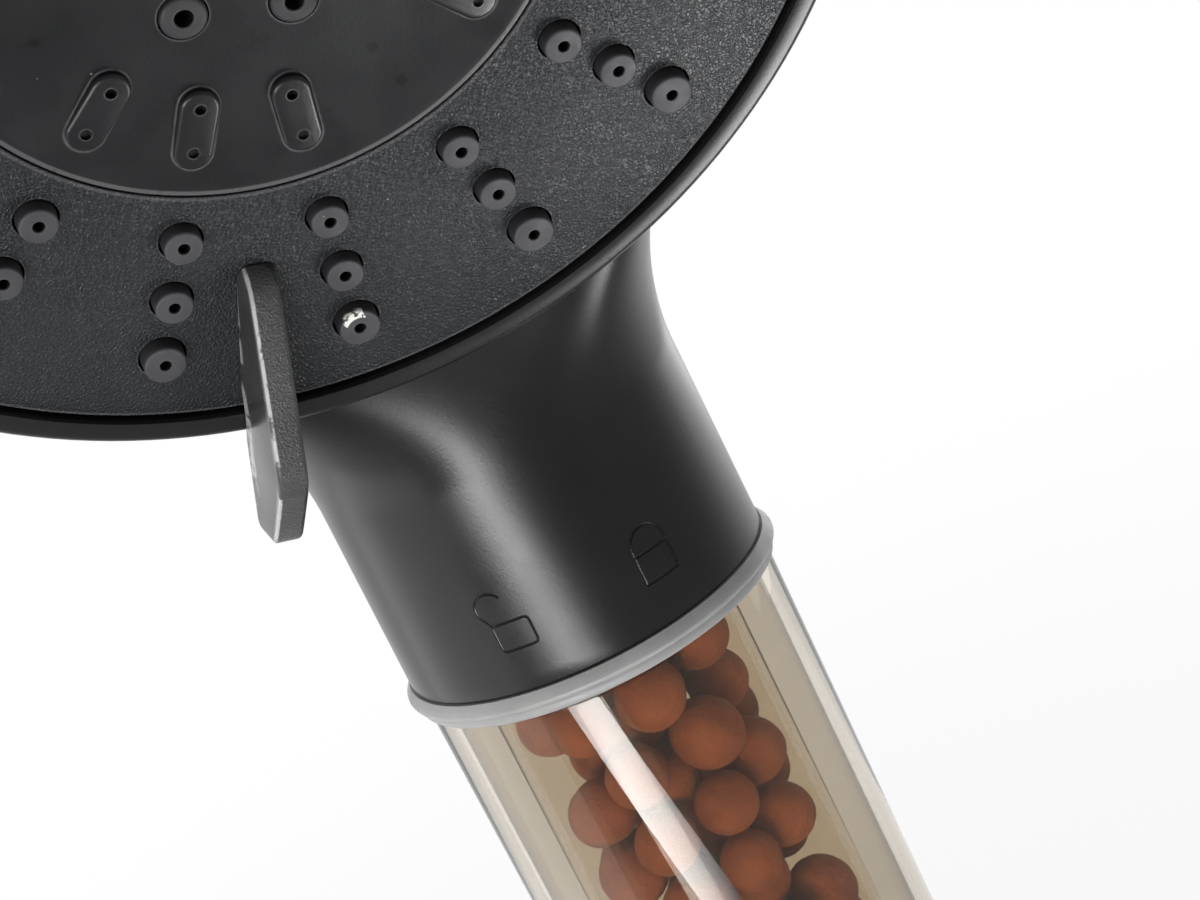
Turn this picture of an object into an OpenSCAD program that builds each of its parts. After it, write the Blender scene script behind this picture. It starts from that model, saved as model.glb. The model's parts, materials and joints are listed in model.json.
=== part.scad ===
// Handheld shower head with a clear filter handle, a twist-lock neck and a
// turning spray face.  Millimetres.  The origin is the centre of the open end
// of the hose thread, +Z runs up the handle and the spray face looks to -Y.

/* [Hose inlet] */
// Outer radius of the male G 1/2 hose thread
thread_r = 10.4775; // [8:0.0005:13.5]
// Length of the hose thread
thread_len = 12; // [8:0.5:16]
// Radius of the water bore through the inlet
inlet_bore_r = 6.5; // [4:0.1:7.4]
// Radius of the inlet's shoulder, against which the hose nut stops
inlet_shoulder_r = 13; // [11.9:0.1:14.5]
// Height of the inlet's shoulder
inlet_shoulder_h = 2; // [1.5:0.1:4]

/* [End cap] */
// Height of the end cap between the inlet's shoulder and the foot ring
cap_h = 24; // [18:0.5:40]
// Wall of the end cap
cap_wall = 2.4; // [1.8:0.1:3.2]
// Height of the cap's collar that stands inside the tube
cap_collar_h = 12; // [9:0.5:18]

/* [Clear tube] */
// Outer radius of the clear tube at its top shoulder
tube_top_r = 20.15; // [19.6:0.05:21.2]
// Outer radius of the clear tube at its foot
tube_foot_r = 19.5; // [19:0.05:20.5]
// Length of the clear tube between the two grey rings
tube_len = 96; // [70:1:140]
// Wall of the clear tube
tube_wall = 2.2; // [1.8:0.1:2.6]
// Outer radius of the tube's spigot inside the neck
spigot_r = 16.4; // [16.2:0.05:16.8]
// Height of the tube's spigot above the tube's shoulder
spigot_h = 22; // [18:0.5:26]

/* [Grey rings] */
// Height of the grey collar ring between tube and neck
collar_h = 3; // [2:0.1:5]
// Radius of the collar ring's rounded bead
collar_bead_r = 21.6; // [21.2:0.05:23.5]
// Radius of the collar ring's lower step
collar_step_r = 20.95; // [20.8:0.05:21.1]
// Height of the ring between tube and end cap
foot_ring_h = 3; // [2:0.1:5]

/* [Twist lock] */
// Angle that the head turns on the handle between locked and free
twist_deg = 50; // [30:1:70]
// Width of each bayonet lug around the spigot, in degrees
lug_deg = 14; // [8:1:20]
// Height of each bayonet lug
lug_h = 3; // [2:0.1:4]
// Height of the lug's underside above the neck's edge
lug_up = 8; // [7:0.5:11]

/* [Filter cartridge] */
// Outer radius of the inner cartridge tube
cartridge_r = 14.5; // [13.5:0.05:14.5]
// Wall of the inner cartridge tube
cartridge_wall = 1.1; // [0.8:0.1:1.6]
// Radius of a mineral ball
ball_r = 3.65; // [3:0.05:4.2]

/* [Neck and shell] */
// Outer radius of the neck at its edge on the collar ring
neck_r = 20.66; // [20.3:0.02:21.4]
// Narrowing of the neck's radius up to where the head starts
neck_draw = 0.2; // [0:0.05:0.6]
// Height of the straight part of the neck
neck_h = 22; // [18:0.5:26]
// Wall of the shell
shell_wall = 2; // [1.6:0.1:2.2]

/* [Spray head] */
// Outer radius of the head's rim
rim_r = 55; // [52:0.5:60]
// Angle between the handle's axis and the plane of the spray face
face_tilt = 30; // [26:0.5:34]
// Distance of the face's centre in front of the handle's axis
face_fwd = 56.1; // [53:0.1:60]
// Height of the face's centre above the neck's edge
face_up = 82.6; // [80:0.1:90]
// Width of the flat front of the rim
rim_flat = 2.4; // [1.8:0.1:3.2]
// Height above the neck at which the head's back leaves the handle's line
back_rise = 33; // [20:0.5:45]
// Height above the face's centre towards which the head's back swells
back_swell = 22.4; // [15:0.1:35]
// Distance behind the handle's axis of that swell, in front if negative
back_lean = -20; // [-30:0.5:10]
// Depth of the rim's band, from the nozzle tips to where the back starts
band_depth = 9; // [8:0.5:12]
// Depth of the rim's front behind the nozzle tips
rim_depth = 1.5; // [0.8:0.1:2.5]
// How far the rim's outer edge stands in front of its inner edge
rim_lip = 0.7; // [0:0.1:1]
// Radius of the rim's outer rounding
rim_round = 0.9; // [0.4:0.1:1.2]

/* [Spray face] */
// Running gap between the face plate and the rim
face_gap = 0.4; // [0.3:0.05:0.8]
// Distance of the outer ring of nozzles from the plate's edge
nozzle_edge = 6.7; // [6:0.1:7.4]
// Distance of the inner ring of nozzles from the joint around the centre disc
nozzle_inner_gap = 4.6; // [4.2:0.1:5.6]
// Number of nozzles in each ring
nozzle_rows = 16; // [8:1:18]
// Radius of a nozzle's tip
nozzle_tip_r = 1.7; // [1.2:0.05:2]
// Radius of a nozzle's water hole
nozzle_hole_r = 0.5; // [0.3:0.01:0.8]
// Radius of the joint between the outer plate and the centre disc
centre_r = 28.4; // [27.6:0.1:29.4]
// How far the middle of the dished centre disc lies behind its rim
disc_dish = 1.25; // [0.8:0.05:1.4]
// Thickness of the plates of the spray face, at the outer plate's back
plate_depth = 4.4; // [4:0.1:5]
// Radius of the ring of centre nozzles
massage_row_r = 12; // [11.5:0.1:12.5]
// Number of centre nozzles
massage_count = 8; // [5:1:9]
// Radius of a centre nozzle's tip
massage_tip_r = 2; // [1.4:0.05:2.2]
// Radius of a centre nozzle's water hole
massage_hole_r = 0.8; // [0.4:0.05:1]
// Radius of the ring of inner mist holes
mist_in_r = 20; // [19:0.05:21]
// Radius of the ring of outer mist holes
mist_out_r = 24.25; // [22.5:0.05:25]
// Radius of a mist hole
mist_hole_r = 0.48; // [0.3:0.02:0.8]
// Half the width of a long boss
boss_half = 1.9; // [1.5:0.05:2.3]

/* [Selector] */
// Angle of the lever from the handle, seen from the front, to the left
lever_rest_deg = 20.5; // [15:0.5:30]
// Angle between two clicks of the selector
click_deg = 20.5; // [18:0.5:24]
// Number of clicks
clicks = 5; // [3:1:6]
// Length of the lever on the plate, up to the plate's edge
lever_on_plate = 15.9; // [14:0.1:18]
// Length of the lever beyond the rim
lever_past_rim = 9.4; // [7:0.1:17]
// Width of the lever at its inner end
lever_w_in = 3.6; // [2.8:0.1:4.4]
// Width of the lever at its outer end
lever_w_out = 4.2; // [3.6:0.1:6.5]
// Height of the lever's ridge in front of the nozzle tips
lever_peak = 8.8; // [6:0.1:11]

/* [Pivot] */
// Radius of the fixed post on which the spray face turns
post_r = 5; // [4.4:0.1:5.4]
// Radius of the pivot screw's thread
screw_r = 2; // [1.5:0.1:2.5]
// Radius of the pivot screw's head
screw_head_r = 4; // [3.2:0.1:4.6]

/* [Waterway] */
// Outer radius of the pipe in the head
pipe_r = 7; // [6:0.1:7.4]
// Bore of the pipe in the head
pipe_bore_r = 5; // [4:0.1:5.2]
// Distance of the water port from the face's axis
port_at = 22; // [20.5:0.1:23.5]
// Radius of a port in the distributor
port_r = 2.8; // [2:0.1:3]

/* [Clearances] */
// Running fit of a shaft in its bore
fit = 0.06; // [0.03:0.01:0.1]
// Play between pieces that are assembled and stay put
play = 0.2; // [0.1:0.05:0.3]
// Play between pieces that move past each other
free = 0.3; // [0.25:0.05:0.5]

/* [Hidden] */
$fn = 96;
eps = 0.01;

// heights up the handle
cap_z = thread_len + inlet_shoulder_h;
foot_ring_z = cap_z + cap_h;
tube_z = foot_ring_z + foot_ring_h;
collar_z = tube_z + tube_len;
neck_z = collar_z + collar_h;
spigot_top = collar_z + spigot_h;
head_z = neck_z + neck_h;

// inlet and end cap
inlet_spigot_r = inlet_shoulder_r - 1.5;
inlet_spigot_h = 9;
cap_foot_r = inlet_shoulder_r + 0.6;
cap_bore_r = inlet_spigot_r + play;
seat_h = inlet_spigot_h + cap_wall;
collar_in_tube_r = tube_foot_r - tube_wall - 0.3;
groove_h = 2;
inlet_groove = 1.6;
inlet_seal_r = (inlet_groove + play) / 2 - 0.02;
cap_groove = 1.4;
cap_seal_r = (cap_groove + 0.3) / 2 - 0.03;
spigot_groove = 1.1;
spigot_seal_r = (spigot_groove + fit) / 2 - 0.04;

// cartridge, from the cap's collar to just under the spigot's top
cartridge_foot_h = 3;
cartridge_lip = 2;
cartridge_z = cap_z + seat_h + cartridge_foot_h + play;
cartridge_top_z = spigot_top - 3;
ball_chamber_r = cartridge_r - cartridge_wall;
strainer_h = 1;
strainer_pitch = 3.7;
chamber_z = cartridge_z + 2 * strainer_h;
chamber_top = cartridge_top_z - 2 * strainer_h;
spigot_bore_r = cartridge_r + free;
ball_gap = 0.08;
ball_layer_r = ball_chamber_r - ball_r - ball_gap;
ball_pitch = 2 * ball_r - 0.35;
ball_layers = floor((chamber_top - chamber_z - 2 * ball_r) / ball_pitch) + 1;
balls_round = floor(180 / asin((ball_r + ball_gap) / ball_layer_r));

// twist lock
lug_z = neck_z + lug_up;
lug_r = spigot_r + 1.5;
spigot_seal_z = lug_z + lug_h + 4;
socket_bore_r = spigot_r + fit;
socket_r = neck_r - neck_draw - shell_wall - play;
socket_top = spigot_top + free;
socket_lid_h = 2;

// spray face, all depths are behind the plane of the nozzle tips
mist_hole_at = [mist_in_r, mist_out_r];
mouth_r = rim_r - rim_flat;
face_r = mouth_r - face_gap;
face_z = neck_z + face_up;
nozzle_in_r = centre_r + nozzle_inner_gap;
nozzle_out_r = face_r - nozzle_edge;
nozzle_row_r = [nozzle_in_r, (nozzle_in_r + nozzle_out_r) / 2, nozzle_out_r];
plate_top_depth = 1.2;
plate_fall = 0.3;
plate_edge = 0.15;
skirt_wall = 1.8;
skirt_depth = band_depth - 0.5;
mat_h = 0.8;
mat_depth = plate_depth + mat_h;
mat_in_r = nozzle_in_r - 2.4;
mat_out_r = nozzle_out_r + 2.6;
nozzle_flare = 0.2;
outer_nozzle_extra = 0.2;
hole_play = 0.1;
disc_back = 4.8;
disc_steps = 8;
boss_up = 0.36;
boss_depth = disc_front(mist_out_r) - boss_up;
massage_up = 0.4;
massage_tip_depth = disc_front(massage_row_r) - massage_up;
massage_mat_h = 0.8;
distributor_depth = 6.2;
distributor_h = 2;
distributor_back = distributor_depth + distributor_h;
hub_r = post_r + 3.5;
hub_back = distributor_back + 1;
base_depth = band_depth + 0.5;
base_h = 2;
base_r = rim_r - 9.6;
washer_h = 0.8;
washer_depth = distributor_depth - free - washer_h;
screw_head_h = 1.6;
cap_disc_r = 6.5;
cap_front = disc_front(cap_disc_r);

// selector
lever_deg = -90 - lever_rest_deg;
lever_from = face_r - lever_on_plate;
lever_to = rim_r + lever_past_rim;
lever_screw_in = 3;
lever_screw_pitch = 8;
lever_screw_at = [lever_from + lever_screw_in,
  lever_from + lever_screw_in + lever_screw_pitch];
lever_screw_r = 1;
lever_screw_head_r = 1.6;
lever_screw_reach = 1.2;
click_in = 16.1;
click_r = face_r - click_in;
click_rod = 1.2;
click_bite = 0.4;
click_depth = distributor_back - click_bite + click_rod;

// waterway
port_boss_r = pipe_r + 1.4;
port_boss_depth = 18.5;
pocket_depth = base_depth + 2 * base_h;
cup_skirt = 1.2;
wire_r = 0.3;
pipe_turn_depth = 27;
pipe_turn_up = 8;
elbow_extra = 0.2;

// ---------- helpers ----------

// round ring with a bore, between two heights
module ring(r_out, r_in, z0, z1) {
  difference() {
    translate([0, 0, z0])
      cylinder(h = z1 - z0, r = r_out);
    translate([0, 0, z0 - 1])
      cylinder(h = z1 - z0 + 2, r = r_in);
  }
}

module disc(r, z0, z1) {
  translate([0, 0, z0])
    cylinder(h = z1 - z0, r = r);
}

// O-ring of a round cord, lying flat
module oring(r_mid, r_cord, z) {
  translate([0, 0, z])
    rotate_extrude()
      translate([r_mid, 0])
        circle(r = r_cord, $fn = 32);
}

// turn into the frame of the spray face: +Z out of the face, +Y up the face
module face_frame() {
  translate([0, -face_fwd, face_z])
    rotate([90 + face_tilt, 0, 0])
      children();
}

// copies around the face's axis
module around(count, r, from = 0) {
  for (i = [0 : count - 1])
    rotate([0, 0, from + i * 360 / count])
      translate([r, 0, 0])
        children();
}

// turn so that +X points along the lever
module at_lever() {
  rotate([0, 0, lever_deg])
    children();
}

// helical spring of a round wire, as one closed mesh
module coil_spring(r, wire_r, z0, z1, turns, steps = 20, sides = 8) {
  count = turns * steps;
  points = [for (i = [0 : count], j = [0 : sides - 1])
    let (a = 360 * i / steps, b = 360 * j / sides, rr = r + wire_r * cos(b))
    [rr * cos(a), rr * sin(a), z0 + (z1 - z0) * i / count + wire_r * sin(b)]];
  walls = [for (i = [0 : count - 1], j = [0 : sides - 1])
    let (k = (j + 1) % sides)
    [i * sides + j, i * sides + k, (i + 1) * sides + k, (i + 1) * sides + j]];
  start = [for (j = [sides - 1 : -1 : 0]) j];
  finish = [for (j = [0 : sides - 1]) count * sides + j];
  polyhedron(points, concat([start], walls, [finish]), convexity = 10);
}

// ---------- handle ----------

module inlet_fitting() {
  color("silver")
    difference() {
      union() {
        disc(thread_r, 0, thread_len);
        disc(inlet_shoulder_r, thread_len, cap_z);
        disc(inlet_spigot_r, cap_z - eps, cap_z + inlet_spigot_h);
      }
      disc(inlet_bore_r, -1, cap_z + inlet_spigot_h + 1);
      seal_z = cap_z + inlet_spigot_h / 2;
      difference() {
        disc(inlet_spigot_r + 1, seal_z - groove_h / 2, seal_z + groove_h / 2);
        disc(inlet_spigot_r - inlet_groove, seal_z - groove_h, seal_z + groove_h);
      }
    }
}

module inlet_seal() {
  color("black")
    oring(inlet_spigot_r + (play - inlet_groove) / 2, inlet_seal_r,
      cap_z + inlet_spigot_h / 2);
}

// cup with a round foot below and a collar that stands up inside the tube
module end_cap() {
  bend = cap_h * 0.7;
  color([0.05, 0.05, 0.06])
    difference() {
      rotate_extrude()
        polygon(concat(
          [[cap_bore_r, cap_z], [cap_foot_r, cap_z]],
          [for (a = [0 : 6 : 90])
            [cap_foot_r + (tube_foot_r - cap_foot_r) * sin(a),
              cap_z + 1 + bend * (1 - cos(a))]],
          [[tube_foot_r, foot_ring_z], [collar_in_tube_r, foot_ring_z],
            [collar_in_tube_r, foot_ring_z + foot_ring_h + cap_collar_h],
            [collar_in_tube_r - cap_wall,
              foot_ring_z + foot_ring_h + cap_collar_h],
            [collar_in_tube_r - cap_wall, cap_z + seat_h + 6],
            [cartridge_r + free, cap_z + seat_h + cartridge_foot_h],
            [cartridge_r + free, cap_z + seat_h],
            [inlet_bore_r, cap_z + seat_h],
            [inlet_bore_r, cap_z + inlet_spigot_h + play],
            [cap_bore_r, cap_z + inlet_spigot_h + play]]));
      groove_z = tube_z + cap_collar_h / 2;
      ring(collar_in_tube_r + 1, collar_in_tube_r - cap_groove,
        groove_z - groove_h / 2, groove_z + groove_h / 2);
    }
}

module cap_seal() {
  color("black")
    oring(collar_in_tube_r + (0.3 - cap_groove) / 2, cap_seal_r,
      tube_z + cap_collar_h / 2);
}

module foot_ring() {
  color([0.55, 0.57, 0.57])
    ring(tube_foot_r + 0.8, collar_in_tube_r + play / 2, foot_ring_z, tube_z);
}

// clear tube with a narrower spigot, on which two lugs lock into the neck
module handle_tube() {
  shoulder = 1;
  color([0.5, 0.48, 0.4, 0.5])
    union() {
      difference() {
        rotate_extrude()
          polygon([
            [tube_foot_r - tube_wall, tube_z], [tube_foot_r, tube_z],
            [tube_top_r, collar_z], [spigot_r, collar_z],
            [spigot_r, spigot_top], [spigot_bore_r, spigot_top],
            [spigot_bore_r, collar_z - shoulder],
            [tube_top_r - tube_wall, collar_z - shoulder]]);
        ring(spigot_r + 1, spigot_r - spigot_groove,
          spigot_seal_z - groove_h / 2, spigot_seal_z + groove_h / 2);
      }
      for (turn = [0, 180])
        rotate([0, 0, turn - lug_deg / 2])
          rotate_extrude(angle = lug_deg)
            translate([spigot_r - 0.5, lug_z])
              square([lug_r - spigot_r + 0.5, lug_h]);
    }
}

module collar_ring() {
  step = collar_h * 0.4;
  bead = (collar_h - step) / 2;
  color([0.56, 0.58, 0.58])
    rotate_extrude()
      polygon(concat(
        [[spigot_r + play, collar_z], [collar_step_r, collar_z],
          [collar_step_r, collar_z + step]],
        [for (a = [-90 : 15 : 90])
          [collar_bead_r - bead + bead * cos(a),
            collar_z + step + bead + bead * sin(a)]],
        [[spigot_r + play, neck_z]]));
}

module spigot_seal() {
  color("black")
    oring(spigot_r + (fit - spigot_groove) / 2, spigot_seal_r, spigot_seal_z);
}

module cartridge_tube() {
  color([0.85, 0.86, 0.84, 0.4])
    ring(cartridge_r, ball_chamber_r, cartridge_z, cartridge_top_z);
}

// perforated plate across the cartridge
module strainer(z) {
  difference() {
    disc(ball_chamber_r - 0.05, z, z + strainer_h);
    for (row = [1 : 3])
      around(row * 6, row * strainer_pitch)
        disc(1, z - 1, z + strainer_h + 1);
    disc(1, z - 1, z + strainer_h + 1);
  }
}

// seat under the cartridge, with a wide water hole
module cartridge_foot() {
  color([0.9, 0.9, 0.88])
    difference() {
      union() {
        disc(cartridge_r, cap_z + seat_h, cartridge_z);
        disc(ball_chamber_r - 0.05, cartridge_z - eps, cartridge_z + strainer_h);
      }
      disc(ball_chamber_r - cartridge_lip, cap_z + seat_h - 1, cartridge_z + 2);
    }
}

module foot_strainer() {
  color([0.8, 0.8, 0.8])
    strainer(cartridge_z + strainer_h);
}

module cartridge_top() {
  color([0.9, 0.9, 0.88])
    difference() {
      union() {
        disc(cartridge_r, cartridge_top_z, cartridge_top_z + 2);
        disc(ball_chamber_r - 0.05, cartridge_top_z - strainer_h,
          cartridge_top_z + eps);
      }
      disc(ball_chamber_r - cartridge_lip, cartridge_top_z - 2,
        cartridge_top_z + 3);
    }
}

module top_strainer() {
  color([0.8, 0.8, 0.8])
    strainer(cartridge_top_z - 2 * strainer_h);
}

// layers of balls, each turned half a step and with one ball in the middle
module mineral_balls() {
  color([0.72, 0.36, 0.2])
    for (layer = [0 : ball_layers - 1])
      translate([0, 0, chamber_z + ball_r + ball_gap + layer * ball_pitch])
        rotate([0, 0, layer % 2 * 180 / balls_round]) {
          around(balls_round, ball_layer_r)
            sphere(r = ball_r, $fn = 32);
          side = layer % 2 == 0 ? 1.2 : -1.2;
          translate([side, 0, 0])
            sphere(r = ball_r, $fn = 32);
        }
}

// ---------- head ----------

// point in the middle plane, by its distance down the face and its depth
function face_yz(down, depth) = [
  -face_fwd + down * sin(face_tilt) + depth * cos(face_tilt),
  face_z - down * cos(face_tilt) + depth * sin(face_tilt)];

function curve(p, t) =
  pow(1 - t, 3) * p[0] + 3 * t * pow(1 - t, 2) * p[1]
  + 3 * t * t * (1 - t) * p[2] + t * t * t * p[3];

// one section of the shell: an oval through a front and a back point
shell_sides = 64;
function oval(front, back, half) = [
  for (i = [0 : shell_sides - 1])
    let (a = 360 * i / shell_sides)
    let (p = (front + back) / 2 - (back - front) / 2 * cos(a))
    [half * sin(a), p[0], p[1]]];

function rim_circle(r, depth) = oval(face_yz(r, depth), face_yz(-r, depth), r);

function neck_at(z, inset) =
  let (r = neck_r - neck_draw * (z - neck_z) / neck_h - inset)
  oval([-r, z], [r, z], r);

// the head from the neck to the band of the rim; inset 0 is the outside
blend_steps = 20;
flare_power = 1.75;
function blend(t, inset) =
  let (r0 = neck_r - neck_draw - inset)
  let (low = face_yz(rim_r - inset * 1.05, band_depth + (inset > 0 ? 3 : 0)))
  let (top = face_yz(-rim_r + inset * 1.2, band_depth))
  let (front = curve([[-r0, head_z], [-r0, head_z + 6],
    [-r0, low[1] - 6], low], t))
  let (back = curve([[r0, head_z], [r0, head_z + back_rise - inset],
    [back_lean - inset, face_z + back_swell - inset], top], t))
  let (half = r0 + (rim_r - inset - r0) * pow(t, flare_power))
  oval(front, back, half);

shell_rings = concat(
  [for (k = [0 : 2]) neck_at(neck_z + neck_h * k / 2, 0)],
  [for (k = [1 : blend_steps - 1]) blend(k / blend_steps, 0)],
  [rim_circle(rim_r, band_depth)],
  [for (a = [0 : 30 : 90])
    rim_circle(rim_r - rim_round + rim_round * cos(a),
      rim_depth - rim_lip + rim_round - rim_round * sin(a))],
  [rim_circle(mouth_r, rim_depth)],
  [rim_circle(mouth_r, band_depth)],
  [for (k = [blend_steps - 1 : -1 : 1]) blend(k / blend_steps, shell_wall)],
  [for (k = [2 : -1 : 0]) neck_at(neck_z + neck_h * k / 2, shell_wall)]);

// one closed skin: up the outside, over the rim and down the inside
module head_shell() {
  rings = len(shell_rings);
  points = [for (one = shell_rings, p = one) p];
  faces = [for (i = [0 : rings - 1], j = [0 : shell_sides - 1])
    let (m = (i + 1) % rings, k = (j + 1) % shell_sides)
    [i * shell_sides + j, m * shell_sides + j,
      m * shell_sides + k, i * shell_sides + k]];
  triangles = [for (f = faces, half = [0, 1])
    half == 0 ? [f[0], f[1], f[2]] : [f[0], f[2], f[3]]];
  color([0.05, 0.05, 0.055])
    polyhedron(points, triangles, convexity = 10);
}

// sleeve in the neck, with an L-shaped window for each lug
module bayonet_socket() {
  window_low = lug_z - free;
  window_high = lug_z + lug_h + free;
  play_deg = 1.2;
  color([0.75, 0.75, 0.72])
    difference() {
      union() {
        ring(socket_r, socket_bore_r, neck_z + play, socket_top);
        ring(socket_r, pipe_bore_r, socket_top, socket_top + socket_lid_h);
      }
      for (turn = [0, 180])
        rotate([0, 0, turn - lug_deg / 2 - play_deg]) {
          rotate([0, 0, -twist_deg])
            rotate_extrude(angle = twist_deg + lug_deg + 2 * play_deg)
              translate([socket_bore_r - 1, window_low])
                square([socket_r - socket_bore_r + 2, window_high - window_low]);
          rotate([0, 0, -twist_deg])
            rotate_extrude(angle = lug_deg + 2 * play_deg)
              translate([socket_bore_r - 1, neck_z - 1])
                square([lug_r - socket_bore_r + 1 + free, window_low - neck_z + 2]);
        }
    }
}

// straight stretch of the pipe between two points of the middle plane
module pipe_run(a, b, r) {
  d = b - a;
  translate([0, a[0], a[1]])
    rotate([-atan2(d[0], d[1]), 0, 0])
      cylinder(h = norm(d), r = r);
}

// the pipe's way to the port; its elbows are a little fuller than the pipe
module pipe_path(r, extra) {
  low = [0, socket_top + socket_lid_h];
  knee = [0, socket_top + socket_lid_h + pipe_turn_up];
  turn = face_yz(port_at, pipe_turn_depth);
  end = face_yz(port_at, port_boss_depth);
  pipe_run(low - [0, extra], knee, r);
  translate([0, knee[0], knee[1]])
    sphere(r = r + elbow_extra);
  pipe_run(knee, turn, r);
  translate([0, turn[0], turn[1]])
    sphere(r = r + elbow_extra);
  pipe_run(turn, end + extra * (end - turn) / norm(end - turn), r);
}

module waterway() {
  color([0.82, 0.82, 0.8])
    difference() {
      pipe_path(pipe_r, 0);
      pipe_path(pipe_bore_r, 1);
    }
}

// fixed plate behind the turning face, with the post and the water port
module diverter_body() {
  color([0.78, 0.78, 0.76])
    face_frame()
      difference() {
        union() {
          disc(base_r, -base_depth - base_h, -base_depth);
          disc(post_r, -base_depth - eps, -distributor_depth);
          translate([0, -port_at, 0])
            disc(port_boss_r, -port_boss_depth, -base_depth - eps);
          disc(post_r + 3, -base_depth - 6, -base_depth - eps);
        }
        disc(screw_r + 0.05, -base_depth - 5, 1);
        translate([0, -port_at, 0]) {
          disc(pipe_bore_r - 1.4, -port_boss_depth - 1, -pocket_depth + eps);
          disc(port_r + 1.4 + play, -pocket_depth, 1 - base_depth);
        }
      }
}

module seal_spring() {
  color("silver")
    face_frame()
      translate([0, -port_at, 0])
        coil_spring(port_r + 1.1 - wire_r, wire_r, -pocket_depth + wire_r + 0.05,
          -base_depth - cup_skirt - wire_r - 0.05, 3);
}

// rubber cup that the spring holds against the distributor
module seal_cup() {
  front = distributor_back + play;
  color([0.15, 0.15, 0.15])
    face_frame()
      translate([0, -port_at, 0])
        difference() {
          disc(port_r + 1.4, -base_depth - cup_skirt, -front);
          disc(port_r, -base_depth - 2, 0);
        }
}

// spring strip whose round nose sits in a click notch of the distributor
module detent_spring() {
  strip_w = 5;
  strip_l = 16;
  strip_h = 0.3;
  color("silver")
    face_frame()
      translate([0, click_r, 0])
        union() {
          translate([-strip_l / 2, -strip_w / 2, -base_depth])
            cube([strip_l, strip_w, strip_h]);
          intersection() {
            translate([0, strip_w / 2, -click_depth])
              rotate([90, 0, 0])
                cylinder(h = strip_w, r = click_rod);
            translate([-click_rod, -strip_w / 2, -base_depth])
              cube([2 * click_rod, strip_w, 2 * click_rod]);
          }
        }
}

module pivot_washer() {
  color("silver")
    face_frame()
      ring(post_r + 2, screw_r + play, -washer_depth - washer_h, -washer_depth);
}

module pivot_screw() {
  color([0.7, 0.7, 0.72])
    face_frame()
      difference() {
        union() {
          disc(screw_r, -base_depth - 4, -washer_depth + eps);
          disc(screw_head_r, -washer_depth, -washer_depth + screw_head_h);
        }
        for (turn = [0, 90])
          rotate([0, 0, turn])
            translate([-2.2, -0.4, -washer_depth + screw_head_h - 0.9])
              cube([4.4, 0.8, 2]);
      }
}

// ---------- spray face ----------

// outer plate with its skirt; its front falls slightly towards the rim
module face_plate() {
  color([0.06, 0.06, 0.065])
    face_frame()
      difference() {
        rotate_extrude()
          polygon([
            [centre_r + play / 2, -plate_depth], [centre_r + play / 2, -plate_top_depth],
            [face_r - plate_edge, -plate_top_depth - plate_fall],
            [face_r, -plate_top_depth - plate_fall - plate_edge], [face_r, -skirt_depth],
            [face_r - skirt_wall, -skirt_depth], [face_r - skirt_wall, -plate_depth]]);
        for (row = [0 : 2])
          at_lever()
            around(nozzle_rows, nozzle_row_r[row], 180 / nozzle_rows)
              disc(nozzle_base(row) + hole_play, -plate_depth - 1, 1);
        lever_screw_places()
          disc(lever_screw_r + hole_play, -plate_depth - 1, 1);
      }
}

function nozzle_base(row) =
  nozzle_tip_r + nozzle_flare + (row == 2 ? outer_nozzle_extra : 0);

// soft nozzles on one ring-shaped mat behind the outer plate
module nozzle_mat() {
  color([0.5, 0.5, 0.5])
    face_frame()
      difference() {
        union() {
          ring(mat_out_r, mat_in_r, -mat_depth, -plate_depth);
          for (row = [0 : 2])
            at_lever()
              around(nozzle_rows, nozzle_row_r[row], 180 / nozzle_rows)
                translate([0, 0, -plate_depth - eps])
                  cylinder(h = plate_depth + eps, r1 = nozzle_base(row),
                    r2 = nozzle_base(row) - nozzle_flare);
        }
        for (row = [0 : 2])
          at_lever()
            around(nozzle_rows, nozzle_row_r[row], 180 / nozzle_rows)
              disc(nozzle_hole_r, -mat_depth - 1, 1);
        lever_screw_places()
          disc(lever_screw_head_r + play, -mat_depth - 1, -plate_depth + 1);
      }
}

// three long bosses in every quarter, in line with the nozzles
module long_boss_places() {
  for (i = [0 : nozzle_rows - 1])
    if (i % 4 != 2)
      rotate([0, 0, (i - 0.5) * 360 / nozzle_rows])
        children();
}

module boss_outline(half) {
  for (at = mist_hole_at)
    translate([at, 0, 0])
      disc(half, -disc_back, -boss_depth);
  translate([mist_hole_at[0], -half, -disc_back])
    cube([mist_hole_at[1] - mist_hole_at[0], 2 * half, disc_back - boss_depth]);
}

// depth of the dished disc's front at a radius; it is flush at its rim
function disc_front(r) =
  plate_top_depth + disc_dish * (1 - pow(r / centre_r, 4));

// centre disc with long bosses for the mist holes; its flange is trapped
// behind the outer plate
module centre_disc() {
  color([0.04, 0.04, 0.045])
    face_frame()
      difference() {
        union() {
          rotate_extrude()
            polygon(concat([[0, -disc_back], [centre_r, -disc_back]],
              [for (i = [disc_steps : -1 : 0])
                let (r = centre_r * i / disc_steps)
                [r, -disc_front(r)]]));
          ring(centre_r + 1.6, centre_r - 1, -plate_depth - 0.5, -plate_depth);
          at_lever()
            long_boss_places()
              boss_outline(boss_half);
        }
        at_lever()
          long_boss_places()
            for (at = mist_hole_at)
              translate([at, 0, 0])
                disc(mist_hole_r, -disc_back - 1, 1);
        at_lever()
          around(massage_count, massage_row_r, 180 / massage_count)
            disc(massage_tip_r + nozzle_flare + hole_play, -disc_back - 1, 1);
        disc(cap_disc_r + play / 2, -disc_back - 1, 1);
      }
}

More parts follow.
